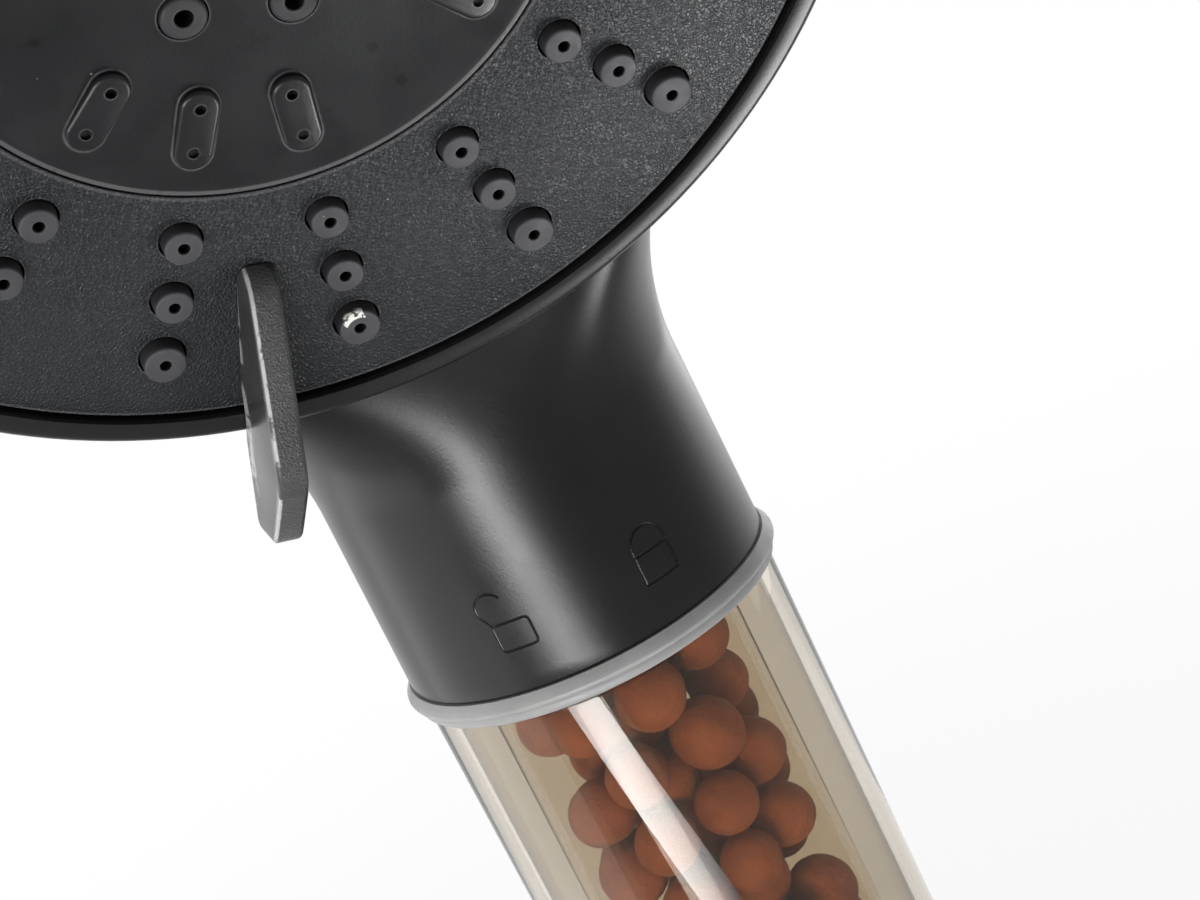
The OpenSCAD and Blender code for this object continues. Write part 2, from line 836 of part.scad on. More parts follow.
module centre_nozzles() {
  color([0.5, 0.5, 0.5])
    face_frame()
      difference() {
        union() {
          ring(massage_row_r + 3.4, massage_row_r - 3.4,
            -disc_back - massage_mat_h, -disc_back);
          at_lever()
            around(massage_count, massage_row_r, 180 / massage_count)
              translate([0, 0, -disc_back - eps])
                cylinder(h = disc_back - massage_tip_depth + eps,
                  r1 = massage_tip_r + nozzle_flare, r2 = massage_tip_r);
        }
        at_lever()
          around(massage_count, massage_row_r, 180 / massage_count)
            disc(massage_hole_r, -disc_back - massage_mat_h - 1, 1);
      }
}

// plate that shares the water between the chambers; it carries the hub
module distributor() {
  wall = 1.2;
  color([0.7, 0.7, 0.68])
    face_frame()
      difference() {
        union() {
          disc(face_r - skirt_wall - 0.1, -distributor_back, -distributor_depth);
          disc(hub_r, -hub_back, -distributor_depth);
          ring(massage_row_r + 3.4 + wall, massage_row_r + 3.4,
            -distributor_depth - eps, -disc_back - play / 2);
          ring(mat_in_r, mat_in_r - wall / 2, -distributor_depth - eps,
            -plate_depth - 0.6);
        }
        disc(post_r + fit, -hub_back - 1, 0);
        for (i = [0 : clicks - 1])
          rotate([0, 0, (1 - i) * click_deg]) {
            translate([0, -port_at, 0])
              disc(port_r, -distributor_back - 1, 0);
            translate([0, click_r - 4, -click_depth])
              rotate([-90, 0, 0])
                cylinder(h = 8, r = click_rod + play);
          }
      }
}

// plug over the pivot screw
module centre_cap() {
  color([0.05, 0.05, 0.055])
    face_frame()
      difference() {
        disc(cap_disc_r, -disc_back, -cap_front);
        disc(screw_head_r + play, -disc_back - 1, -washer_depth + screw_head_h + play);
      }
}

module lever_screw_places() {
  at_lever()
    for (at = lever_screw_at)
      translate([at, 0, 0])
        children();
}

// fin-shaped thumb lever across the outer plate, wider at its outer end
module selector_lever() {
  reach = lever_to - lever_from;
  over_rim = free - rim_depth + rim_lip;
  color([0.06, 0.06, 0.065])
    face_frame()
      at_lever()
        difference() {
          intersection() {
            translate([0, lever_w_out, 0])
              rotate([90, 0, 0])
                linear_extrude(2 * lever_w_out)
                  polygon([
                    [lever_from, plate_front(lever_from) + 0.05],
                    [lever_from + 0.4, lever_peak * 0.11],
                    [lever_from + reach * 0.2, lever_peak * 0.41],
                    [lever_from + reach * 0.4, lever_peak * 0.7],
                    [lever_from + reach * 0.56, lever_peak * 0.94],
                    [lever_from + reach * 0.62, lever_peak],
                    [lever_from + reach * 0.7, lever_peak * 0.95],
                    [lever_to - 0.8, lever_peak * 0.62],
                    [lever_to, lever_peak * 0.5],
                    [lever_to - 0.2, lever_peak * 0.38],
                    [lever_to - 0.9, lever_peak * 0.27],
                    [rim_r + 0.6, over_rim],
                    [face_r - 1.6, over_rim],
                    [face_r - 1.6, plate_front(face_r - 1.6) + 0.05]]);
            linear_extrude(height = 4 * lever_peak, center = true)
              polygon([
                [lever_from, -lever_w_in / 2], [lever_to + 1, -lever_w_out / 2],
                [lever_to + 1, lever_w_out / 2], [lever_from, lever_w_in / 2]]);
          }
          for (at = lever_screw_at)
            translate([at, 0, 0])
              disc(lever_screw_r, -plate_depth, lever_screw_reach);
        }
}

// height of the outer plate's front at a radius
function plate_front(r) =
  -plate_top_depth
  - plate_fall * (r - centre_r - play / 2) / (face_r - plate_edge - centre_r - play / 2);

module lever_screws() {
  color("silver")
    face_frame()
      lever_screw_places() {
        disc(lever_screw_r - 0.02, -plate_depth - eps, lever_screw_reach - 0.1);
        disc(lever_screw_head_r, -mat_depth - 0.6, -plate_depth);
      }
}

inlet_fitting();
inlet_seal();
end_cap();
cap_seal();
foot_ring();
handle_tube();
collar_ring();
spigot_seal();
cartridge_tube();
cartridge_foot();
cartridge_top();
foot_strainer();
top_strainer();
mineral_balls();
head_shell();
bayonet_socket();
waterway();
diverter_body();
seal_spring();
seal_cup();
detent_spring();
pivot_washer();
pivot_screw();
face_plate();
centre_disc();
nozzle_mat();
centre_nozzles();
distributor();
centre_cap();
selector_lever();
lever_screws();
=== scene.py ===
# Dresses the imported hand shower: finer outer pieces, finishes, a pale stage and the camera
import bpy
import json
import math
import random
from mathutils import Matrix, Vector


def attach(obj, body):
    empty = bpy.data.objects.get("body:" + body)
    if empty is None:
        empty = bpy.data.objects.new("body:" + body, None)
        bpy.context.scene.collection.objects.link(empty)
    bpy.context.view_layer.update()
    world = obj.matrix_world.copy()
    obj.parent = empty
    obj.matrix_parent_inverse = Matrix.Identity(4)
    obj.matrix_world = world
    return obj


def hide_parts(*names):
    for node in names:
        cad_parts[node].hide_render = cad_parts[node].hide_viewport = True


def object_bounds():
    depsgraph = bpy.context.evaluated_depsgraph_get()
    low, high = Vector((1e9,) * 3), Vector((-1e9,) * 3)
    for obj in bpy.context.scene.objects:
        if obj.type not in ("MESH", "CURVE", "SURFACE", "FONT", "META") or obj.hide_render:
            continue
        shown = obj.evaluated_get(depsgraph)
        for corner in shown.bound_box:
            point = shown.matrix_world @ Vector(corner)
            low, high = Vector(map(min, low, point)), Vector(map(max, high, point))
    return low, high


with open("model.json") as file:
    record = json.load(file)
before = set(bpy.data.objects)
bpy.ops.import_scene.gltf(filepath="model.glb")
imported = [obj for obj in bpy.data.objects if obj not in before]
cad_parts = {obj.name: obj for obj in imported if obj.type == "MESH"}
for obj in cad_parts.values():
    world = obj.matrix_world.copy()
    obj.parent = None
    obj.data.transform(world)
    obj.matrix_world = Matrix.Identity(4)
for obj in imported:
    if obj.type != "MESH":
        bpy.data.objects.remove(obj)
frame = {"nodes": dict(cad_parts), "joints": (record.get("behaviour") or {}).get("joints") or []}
cadBox = [list(corner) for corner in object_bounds()]
nodes = frame["nodes"]
mm = 0.001
joints = {joint["name"]: joint for joint in frame["joints"]}
neckEdge = joints["neck_twist"]["pos_m"][2] / mm
faceCentre = Vector(joints["selector"]["pos_m"])
faceOut = Vector(joints["selector"]["axis"]).normalized()
faceUp = faceOut.cross(Vector((1, 0, 0)))
faceFrame = Matrix.Translation(faceCentre) @ Matrix(((1, 0, 0), faceUp, faceOut)).transposed().to_4x4()
leverTurn = math.radians(-110.5)  # where the lever stands at rest, in the plane of the face
print("frame loaded")


def setMode(mode):
    bpy.ops.object.mode_set(mode=mode)


def applyPlace():
    bpy.ops.object.transform_apply(location=True, rotation=True, scale=True)


def pickNothing():
    if bpy.context.object and bpy.context.object.mode != "OBJECT":
        setMode("OBJECT")
    bpy.ops.object.select_all(action="DESELECT")


def pickOnly(*things):
    pickNothing()
    for thing in things:
        thing.select_set(True)
    bpy.context.view_layer.objects.active = things[0]


def pickPoints(piece, wanted):  # in edit mode: takes the points for which wanted(place) holds
    bpy.ops.mesh.select_all(action="DESELECT")
    setMode("OBJECT")
    for point in piece.data.vertices:
        point.select = wanted(point.co)
    setMode("EDIT")


def turnPicked(angle, axis, centre):  # without a window the operator turns the other way
    bpy.ops.transform.rotate(value=-angle, orient_axis=axis, orient_type="GLOBAL", center_override=centre)


def cleanUp(piece, gap=0.002):
    pickOnly(piece)
    setMode("EDIT")
    bpy.ops.mesh.select_all(action="SELECT")
    bpy.ops.mesh.remove_doubles(threshold=gap * mm)
    bpy.ops.mesh.normals_make_consistent(inside=False)
    setMode("OBJECT")


def softenEdges(piece, width, segments=3, limit=30):
    pickOnly(piece)
    bevel = piece.modifiers.new("softEdges", "BEVEL")
    bevel.width = width * mm
    bevel.segments = segments
    bevel.limit_method = "ANGLE"
    bevel.angle_limit = math.radians(limit)
    bpy.ops.object.modifier_apply(modifier=bevel.name)


def smoothShade(piece, limit):
    pickOnly(piece)
    bpy.ops.object.shade_smooth_by_angle(angle=math.radians(limit))


def cutAway(piece, cutter):
    pickOnly(piece)
    cut = piece.modifiers.new("cut", "BOOLEAN")
    cut.operation = "DIFFERENCE"
    cut.solver = "EXACT"
    cut.object = cutter
    bpy.ops.object.modifier_apply(modifier=cut.name)
    bpy.data.objects.remove(cutter, do_unlink=True)


def joinAll(name, pieces):
    pickOnly(*pieces)
    if len(pieces) > 1:
        bpy.ops.object.join()
    whole = bpy.context.object
    whole.name = name
    return whole


def addObject(name, data, place=Matrix()):
    thing = bpy.data.objects.new(name, data)
    bpy.context.scene.collection.objects.link(thing)
    thing.matrix_world = place
    return thing


def copyTo(piece, place):  # a copy with its own mesh, moved by a matrix
    twin = addObject(piece.name, piece.data.copy())
    twin.data.transform(place)
    return twin


def setPlace(piece, place):
    pickOnly(piece)
    piece.matrix_world = place
    applyPlace()


def drawLine(name, points):  # a chain of edges through the points, by extruding one point
    pickNothing()
    bpy.ops.mesh.primitive_plane_add(size=mm)
    line = bpy.context.object
    line.name = name
    setMode("EDIT")
    bpy.ops.mesh.select_all(action="SELECT")
    bpy.ops.mesh.merge(type="CENTER")
    here = Vector((0, 0, 0))
    for index, point in enumerate(points):
        there = Vector(point) * mm
        if index == 0:
            bpy.ops.transform.translate(value=there)
        else:
            bpy.ops.mesh.extrude_region_move(TRANSFORM_OT_translate={"value": there - here})
        here = there
    return line


def turnedPiece(name, outline, steps=128):  # spins an outline of (radius, height) round Z
    piece = drawLine(name, [(radius, 0, height) for radius, height in outline])
    bpy.ops.mesh.select_all(action="SELECT")
    bpy.ops.mesh.spin(steps=steps, angle=math.tau, center=(0, 0, 0), axis=(0, 0, 1))
    setMode("OBJECT")
    cleanUp(piece)
    return piece


def closed(outline):
    return list(outline) + [outline[0]]


def hoop(inner, outer, low, high):  # the outline of a plain ring
    return closed([(inner, low), (outer, low), (outer, high), (inner, high)])


def arc(radius, height, size, start, end, count=8):  # points of a rounding in an outline
    angles = [math.radians(start + (end - start) * step / count) for step in range(count + 1)]
    return [(radius + size * math.cos(a), height + size * math.sin(a)) for a in angles]


def aroundFace(angle, radius=0):  # turned to an angle from the lever, and moved out
    turn = Matrix.Rotation(leverTurn + math.radians(angle), 4, "Z")
    return turn @ Matrix.Translation((radius * mm, 0, 0))


def spotsAround(count, radius=0, shift=0.5):  # places evenly spaced round the face
    return [aroundFace((step + shift) * 360 / count, radius) for step in range(count)]


def addBlock(centre, size):  # a box, with its place in the mesh
    pickNothing()
    bpy.ops.mesh.primitive_cube_add(size=1, location=Vector(centre) * mm, scale=Vector(size) * mm)
    applyPlace()
    return bpy.context.object


def addRod(radius, low, high, away=0, sides=40):  # an upright cylinder between two heights
    pickNothing()
    bpy.ops.mesh.primitive_cylinder_add(vertices=sides, radius=radius * mm, depth=(high - low) * mm,
        location=(away * mm, 0, (low + high) / 2 * mm))
    applyPlace()
    return bpy.context.object


def drillAll(piece, half, holes):  # cuts rods away in one go, half their length to each side
    drills = []
    for radius, place in holes:
        drill = addRod(radius, -half, half)
        drill.data.transform(place)
        drills.append(drill)
    cutAway(piece, joinAll("drills", drills))


def wear(piece, finish):
    piece.data.materials.clear()
    piece.data.materials.append(finishes[finish])


def dress(piece, body, finish, stoodFor, smooth=40):
    smoothShade(piece, smooth)
    wear(piece, finish)
    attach(piece, body)
    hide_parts(stoodFor)


def dressFace(piece, finish, stoodFor, smooth=40, place=Matrix()):  # tilted to the face
    setPlace(piece, faceFrame @ place)
    dress(piece, "spray_face", finish, stoodFor, smooth)


def feed(tree, socket, value):  # a link from another node, or a plain value
    if isinstance(value, bpy.types.NodeSocket):
        tree.links.new(value, socket)
    else:
        socket.default_value = value


def addNode(tree, kind, **values):  # a node with some of its inputs set or linked
    node = tree.nodes.new("ShaderNode" + kind)
    for label, value in values.items():
        feed(tree, node.inputs[label], value)
    return node


def vectorNode(tree, operation, *values, kind="VectorMath"):
    node = addNode(tree, kind)
    node.operation = operation
    for socket, value in zip(node.inputs, values):
        feed(tree, socket, value)
    return node


def mathNode(tree, operation, *values):
    return vectorNode(tree, operation, *values, kind="Math").outputs[0]


def scaled(tree, vector, size):  # a vector in units of a size given in millimetres
    node = vectorNode(tree, "SCALE", vector)
    feed(tree, node.inputs["Scale"], mathNode(tree, "DIVIDE", 1 / mm, size))
    return node.outputs[0]


def dotWith(tree, vector, axis):  # a coordinate along an axis, in millimetres
    return vectorNode(tree, "DOT_PRODUCT", vector, axis / mm).outputs["Value"]


def ramp(tree, value, low, high, toLow=0.0, toHigh=1.0):
    limits = {"From Min": low, "From Max": high, "To Min": toLow, "To Max": toHigh}
    node = addNode(tree, "MapRange", Value=value, **limits)
    node.interpolation_type = "SMOOTHSTEP"
    return node.outputs["Result"]


def blendShaders(tree, share, first, second):  # the material shows the second by a share
    both = addNode(tree, "MixShader")
    for socket, source in zip(both.inputs, (share, first, second)):
        tree.links.new(source, socket)
    tree.links.new(both.outputs[0], tree.nodes["Material Output"].inputs["Surface"])


def noise(tree, vector, detail=2, rough=0.5, twist=0, scale=1, output="Fac"):
    node = addNode(tree, "TexNoise", Vector=vector, Scale=scale, Detail=detail, Roughness=rough,
        Distortion=twist)
    return node.outputs[output]


def cells(tree, vector, feature="F1", output="Distance"):
    node = addNode(tree, "TexVoronoi", Vector=vector, Scale=1)
    node.feature = feature
    return node.outputs[output]


def sparkGrain(group, given):  # fine eroded grain of a mould
    place = scaled(group, given["Vector"], given["Size"])
    fine = noise(group, place, detail=3, rough=0.65)
    return {"Height": mathNode(group, "MULTIPLY_ADD", cells(group, place), 0.5, fine)}


def hideGrain(group, given):  # leather-like grain: cells with valleys between them
    place = scaled(group, given["Vector"], given["Size"])
    wobble = noise(group, place, scale=0.8, output="Color")
    shifted = vectorNode(group, "MULTIPLY_ADD", wobble, (0.9, 0.9, 0.9), place).outputs[0]
    valleys = ramp(group, cells(group, shifted, "DISTANCE_TO_EDGE"), 0.0, 0.3)
    fine = noise(group, place, detail=3, rough=0.6)
    return {"Height": mathNode(group, "MULTIPLY_ADD", fine, 0.5, valleys)}


def slowField(group, given):  # slow change between two values, for colour and roughness
    place = scaled(group, given["Vector"], given["Size"])
    field = noise(group, place, detail=4, rough=0.55, twist=0.3)
    return {"Value": ramp(group, field, 0.3, 0.7, given["Low"], given["High"])}


def specks(group, given):  # sparse specks of dust and lime, as a mask
    place = scaled(group, given["Vector"], given["Size"])
    dots = ramp(group, cells(group, place), 0.09, 0.04)
    pick = addNode(group, "SeparateColor", Color=cells(group, place, output="Color"))
    chosen = mathNode(group, "LESS_THAN", pick.outputs[0], given["Share"])
    return {"Mask": mathNode(group, "MULTIPLY", dots, chosen)}


def edgeWearAndHighlight(group, given):  # paler edges, as a mask: partly wear, partly a painted highlight where the edges catch the lamps
    rounded = addNode(group, "Bevel", Radius=0.35 * mm)
    rounded.samples = 4
    shape = addNode(group, "NewGeometry")
    angle = vectorNode(group, "DOT_PRODUCT", rounded.outputs[0], shape.outputs["Normal"])
    edge = ramp(group, angle.outputs["Value"], 0.985, 0.85)
    field = noise(group, scaled(group, given["Vector"], 1.2), 3)
    patchy = ramp(group, field, 0.35, 0.6, given["Even"], 1.0)
    mask = mathNode(group, "MULTIPLY", edge, patchy)
    return {"Mask": mathNode(group, "MULTIPLY", mask, given["Amount"])}


def facePlace(group, given):  # where a point lies on the spray face, counted from the lever
    away = vectorNode(group, "SUBTRACT", given["Vector"], faceCentre).outputs[0]
    along = Vector((1, 0, 0)) * math.cos(leverTurn) + faceUp * math.sin(leverTurn)
    ahead = dotWith(group, away, along)
    side = dotWith(group, away, faceOut.cross(along))
    square = mathNode(group, "MULTIPLY_ADD", ahead, ahead, mathNode(group, "MULTIPLY", side, side))
    depth = mathNode(group, "MULTIPLY", dotWith(group, away, faceOut), -1)
    return {"Radius": mathNode(group, "SQRT", square), "Turn": mathNode(group, "ARCTAN2", side, ahead),
        "Side": side, "Depth": depth}


def ringHoles(group, given):  # round holes spaced evenly on a ring of the face, as a mask
    place = group.nodes.new("ShaderNodeGroup")
    place.node_tree = groups["facePlace"]
    feed(group, place.inputs[0], given["Vector"])
    radius, count = place.outputs["Radius"], given["Count"]
    turns = mathNode(group, "DIVIDE", place.outputs["Turn"], math.tau)
    # 100.5 keeps the value above zero, and puts the middle of a hole at a half
    steps = mathNode(group, "ADD", mathNode(group, "MULTIPLY", turns, count), 100.5)
    part = mathNode(group, "FRACT", mathNode(group, "SUBTRACT", steps, given["Shift"]))
    angle = mathNode(group, "MULTIPLY", mathNode(group, "SUBTRACT", part, 0.5), math.tau)
    across = mathNode(group, "MULTIPLY", mathNode(group, "DIVIDE", angle, count), radius)
    outward = mathNode(group, "SUBTRACT", radius, given["Ring"])
    square = mathNode(group, "MULTIPLY_ADD", across, across, mathNode(group, "MULTIPLY", outward, outward))
    away = mathNode(group, "SUBTRACT", mathNode(group, "SQRT", square), given["Hole"])
    return {"Mask": ramp(group, away, 0.06, -0.02)}


groups = {}


def addEffect(name, build, **numbers):  # a group that takes a place and numbers, and gives values
    group = bpy.data.node_groups.new(name, "ShaderNodeTree")
    group.interface.new_socket("Vector", in_out="INPUT", socket_type="NodeSocketVector")
    for label, number in numbers.items():
        socket = group.interface.new_socket(label, in_out="INPUT", socket_type="NodeSocketFloat")
        socket.default_value = number
    values = build(group, group.nodes.new("NodeGroupInput").outputs)
    for label in values:
        group.interface.new_socket(label, in_out="OUTPUT", socket_type="NodeSocketFloat")
    out = group.nodes.new("NodeGroupOutput").inputs
    for label, value in values.items():
        group.links.new(value, out[label])
    groups[name] = group


addEffect("sparkGrain", sparkGrain, Size=0.2)
addEffect("hideGrain", hideGrain, Size=0.5)
addEffect("slowField", slowField, Size=10, Low=0, High=1)
addEffect("specks", specks, Size=1, Share=0.1)
addEffect("edgeWearAndHighlight", edgeWearAndHighlight, Amount=1, Even=0)
addEffect("facePlace", facePlace)
addEffect("ringHoles", ringHoles, Ring=20, Count=16, Shift=0.5, Hole=0.5)


class Finish:
    def __init__(self, name):
        self.material = bpy.data.materials.new(name)
        self.material.use_nodes = True
        self.tree = self.material.node_tree
        self.shader = self.tree.nodes["Principled BSDF"]
        self.place = addNode(self.tree, "TexCoord").outputs["Object"]

    def effect(self, name, give=0, **values):
        node = self.tree.nodes.new("ShaderNodeGroup")
        node.node_tree = groups[name]
        self.tree.links.new(self.place, node.inputs["Vector"])
        for label, value in values.items():
            node.inputs[label].default_value = value
        return node.outputs[give]

    def field(self, size, low=0, high=1):
        return self.effect("slowField", Size=size, Low=low, High=high)

    def sum(self, operation, *values):
        return mathNode(self.tree, operation, *values)

    def ramp(self, value, low, high):
        return ramp(self.tree, value, low, high)

    def line(self, place, at, half):  # a soft line along a value of facePlace, as a mask
        away = self.sum("SUBTRACT", self.effect("facePlace", place), at)
        return self.ramp(self.sum("ABSOLUTE", away), half, half * 0.4)

    def plain(self, values):
        for label, value in values.items():
            self.shader.inputs[label].default_value = value

    def drive(self, label, source):
        self.tree.links.new(source, self.shader.inputs[label])

    def mix(self, mask, first, second):
        node = self.tree.nodes.new("ShaderNodeMix")
        node.data_type = "RGBA"
        self.tree.links.new(mask, node.inputs["Factor"])
        for socket, colour in ((node.inputs[6], first), (node.inputs[7], second)):
            feed(self.tree, socket, (*colour, 1) if isinstance(colour, tuple) else colour)
        return node.outputs[2]

    def bump(self, height, depth, below):
        node = addNode(self.tree, "Bump", Strength=1, Distance=depth * mm, Height=height)
        if below is not None:
            feed(self.tree, node.inputs["Normal"], below)
        return node.outputs[0]


def addHighlightLines(finish, colour, look):  # painted highlight lines along an edge, broken into patches where the highlight fades
    for place, at, half in look["lines"]:
        line = finish.line(place, at, half)
        if "highlightPatch" in look:
            line = finish.sum("MULTIPLY", line, finish.ramp(finish.field(look["highlightPatch"]), 0.25, 0.5))
        colour = finish.mix(line, colour, look["highlightColour"])
    return colour


def addLime(finish, colour, lime, wall):  # a crust of lime along one edge of one nozzle's tip
    near = finish.effect("ringHoles", Ring=lime["ring"], Count=1, Shift=lime["turn"], Hole=lime["size"])
    tip = finish.effect("ringHoles", Ring=lime["tipRing"], Count=1, Shift=lime["tipTurn"],
        Hole=lime["tipSize"])
    edge = finish.sum("SUBTRACT", finish.sum("SUBTRACT", near, tip), wall)
    crust = finish.sum("MULTIPLY", edge, finish.ramp(finish.field(lime["patch"]), 0.3, 0.5))
    return finish.mix(finish.sum("MAXIMUM", crust, 0.0), colour, lime["colour"])


def paint(finish, look):
    colour = finish.mix(finish.field(look["patch"]), look["dark"], look["light"])
    # painted highlight, partly wear: the edges turn paler
    if "edgeWearAndGlint" in look:
        amount, even, wearAndGlintColour = look["edgeWearAndGlint"]
        colour = finish.mix(finish.effect("edgeWearAndHighlight", Amount=amount, Even=even), colour, wearAndGlintColour)
    if "wall" in look:  # painted shade: the nozzles' sides are painted darker than their tips
        wall = finish.ramp(finish.effect("facePlace", "Depth"), *look["wallShadeDepth"])
        colour = finish.mix(wall, colour, look["wall"])
    if "specks" in look:
        size, share, tint = look["specks"]
        colour = finish.mix(finish.effect("specks", Size=size, Share=share), colour, tint)
    # painted highlights: pale lines along edges that catch the lamps
    if "lines" in look:
        colour = addHighlightLines(finish, colour, look)
    for ring in look.get("rings", ()):  # painted shade: the water holes are painted near-black inside
        hole = finish.effect("ringHoles", Ring=ring, Count=look["count"], Shift=0.5, Hole=look["hole"])
        colour = finish.mix(hole, colour, (0.001, 0.001, 0.001))
    if "lime" in look:
        colour = addLime(finish, colour, look["lime"], wall)
    return colour


def solidFinish(name, look):
    finish = Finish(name)
    finish.drive("Base Color", paint(finish, look))
    finish.drive("Roughness", finish.field(*look["gloss"]))
    finish.plain(look.get("plain", {}))
    normal = None
    for effect, size, depth in look["grain"]:
        grain = finish.effect(effect, Size=size)
        if "ridge" in look:  # the grain lies on the ridge only
            side = finish.sum("ABSOLUTE", finish.effect("facePlace", "Side"))
            ridge = finish.ramp(side, look["ridge"], look["ridge"] - 0.3)
            grain = finish.sum("MULTIPLY", grain, ridge)
        normal = finish.bump(grain, depth, normal)
    finish.drive("Normal", normal)
    return finish.material


def clearFinish(name, look):  # clear to the eye, and lets the lamps through without a dark shadow
    finish = Finish(name)
    tree = finish.tree
    finish.drive("Roughness", finish.field(*look["haze"]))
    finish.drive("Base Color", finish.mix(finish.field(look["patch"]), look["dark"], look["light"]))
    finish.plain({"Transmission Weight": 1, "IOR": look["bend"], "Coat Weight": look["coat"],
        "Coat Roughness": 0.02, "Coat IOR": 1.5})
    path = addNode(tree, "LightPath")
    through = addNode(tree, "BsdfTransparent", Color=(*look["lamps"], 1))
    blendShaders(tree, path.outputs["Is Shadow Ray"], finish.shader.outputs[0], through.outputs[0])
    return finish.material


# patch is the size of the slow change from dark to light, in millimetres
# gloss and haze are (patch, smoothest, roughest); pale edges, partly wear and partly painted highlight,
# take (amount, evenness, colour)
# specks are (size, share, colour); lines are painted highlights along edges, (value of facePlace, place,
# half width)
# grain is (effect, size, depth)
solidLooks = {
    "shellPlastic": {"dark": (0.006, 0.006, 0.0066), "light": (0.009, 0.009, 0.0096), "patch": 14,
        "gloss": (8.4, 0.25, 0.29), "plain": {"Specular IOR Level": 0.36},
        "grain": [("sparkGrain", 0.3, 0.006)]},
    "platePlastic": {"dark": (0.009, 0.0105, 0.0125), "light": (0.013, 0.0145, 0.017), "patch": 11,
        "edgeWearAndGlint": (0.8, 0.6, (0.08, 0.08, 0.084)), "specks": (1.6, 0.03, (0.3, 0.3, 0.31)),
        "lines": [("Radius", 28.75, 0.2), ("Radius", 52.0, 0.16)], "highlightColour": (0.055, 0.055, 0.058),
        "gloss": (6.6, 0.36, 0.44), "plain": {"Specular IOR Level": 0.35},
        "grain": [("hideGrain", 0.4, 0.045)]},
    "discPlastic": {"dark": (0.006, 0.0065, 0.0075), "light": (0.009, 0.0095, 0.011), "patch": 9,
        "edgeWearAndGlint": (1, 0.6, (0.13, 0.13, 0.135)), "specks": (1.3, 0.04, (0.3, 0.3, 0.31)),
        "lines": [("Radius", 28.1, 0.26)], "highlightColour": (0.085, 0.085, 0.088),
        "rings": (20, 24.25), "count": 16, "hole": 0.48,
        "gloss": (5.4, 0.26, 0.34), "plain": {"Specular IOR Level": 0.35},
        "grain": [("sparkGrain", 0.3, 0.008)]},
    "leverPlastic": {"dark": (0.03, 0.03, 0.031), "light": (0.048, 0.048, 0.049), "patch": 7,
        "lines": [("Side", -1.2, 0.24), ("Side", 1.95, 0.14), ("Side", -1.98, 0.12)],
        "highlightColour": (0.4, 0.4, 0.4), "highlightPatch": 4,
        "gloss": (4.2, 0.22, 0.28), "plain": {"Specular IOR Level": 0.5},
        "grain": [("sparkGrain", 0.22, 0.1)], "ridge": 1.3},
    # in the silicone looks, the wall colour is a painted shade on the nozzles' sides
    "nozzleSilicone": {"dark": (0.03, 0.03, 0.035), "light": (0.045, 0.045, 0.051), "patch": 2.2,
        "edgeWearAndGlint": (0.4, 0.5, (0.16, 0.16, 0.165)), "wallShadeDepth": (0.2, 0.7), "wall": (0.019, 0.019, 0.021),
        "specks": (0.8, 0.03, (0.4, 0.4, 0.38)), "rings": (33, 39.25, 45.5), "count": 16, "hole": 0.54,
        "lime": {"ring": 44.2, "turn": 0.0301, "size": 1.05, "tipRing": 45.5, "tipTurn": 0.03125,
            "tipSize": 1.2, "patch": 0.5, "colour": (0.75, 0.75, 0.7)},
        "gloss": (1.5, 0.5, 0.65), "grain": [("sparkGrain", 0.12, 0.012)]},
    "centreSilicone": {"dark": (0.014, 0.014, 0.016), "light": (0.022, 0.022, 0.025), "patch": 2.2,
        "edgeWearAndGlint": (0.4, 0.5, (0.16, 0.16, 0.165)), "wallShadeDepth": (2.2, 2.7),
        "wall": (0.013, 0.013, 0.015), "specks": (0.8, 0.03, (0.4, 0.4, 0.38)),
        "rings": (12,), "count": 8, "hole": 0.8,
        "gloss": (1.5, 0.5, 0.65), "grain": [("sparkGrain", 0.12, 0.012)]},
    "greyRubber": {"dark": (0.27, 0.27, 0.268), "light": (0.315, 0.315, 0.312), "patch": 5,
        "specks": (0.8, 0.12, (0.62, 0.62, 0.6)), "gloss": (3, 0.36, 0.5),
        "plain": {"Subsurface Weight": 0.15, "Subsurface Radius": (0.001, 0.001, 0.001)},
        "grain": [("sparkGrain", 0.2, 0.008)]},
    "firedClay": {"dark": (0.175, 0.046, 0.01), "light": (0.25, 0.07, 0.018), "patch": 5,
        "specks": (0.5, 0.2, (0.08, 0.026, 0.01)), "gloss": (2, 0.75, 0.95),
        "grain": [("slowField", 1.3, 0.12), ("sparkGrain", 0.18, 0.05)]},
    "palePlastic": {"dark": (0.62, 0.62, 0.6), "light": (0.7, 0.7, 0.68), "patch": 8,
        "gloss": (4, 0.35, 0.5), "grain": [("sparkGrain", 0.25, 0.01)]},
    "brightMetal": {"dark": (0.6, 0.61, 0.62), "light": (0.72, 0.72, 0.73), "patch": 6,
        "gloss": (3, 0.14, 0.26), "plain": {"Metallic": 1}, "grain": [("sparkGrain", 0.3, 0.004)]},
    "sealRubber": {"dark": (0.012, 0.012, 0.012), "light": (0.022, 0.022, 0.022), "patch": 3,
        "gloss": (2, 0.45, 0.6), "grain": [("sparkGrain", 0.2, 0.01)]},
}
clearLooks = {
    "tubePlastic": {"dark": (0.63, 0.58, 0.505), "light": (0.67, 0.62, 0.545), "patch": 30,
        "lamps": (0.97, 0.95, 0.93), "bend": 1.05, "coat": 0.65, "haze": (9, 0.025, 0.035)},
    "cartridgePlastic": {"dark": (0.89, 0.83, 0.74), "light": (0.92, 0.86, 0.77), "patch": 30,
        "lamps": (0.98, 0.97, 0.96), "bend": 1.03, "coat": 0.1, "haze": (9, 0.05, 0.12)},
}
finishes = {name: solidFinish(name, look) for name, look in solidLooks.items()}
finishes.update({name: clearFinish(name, look) for name, look in clearLooks.items()})
print("finishes made")


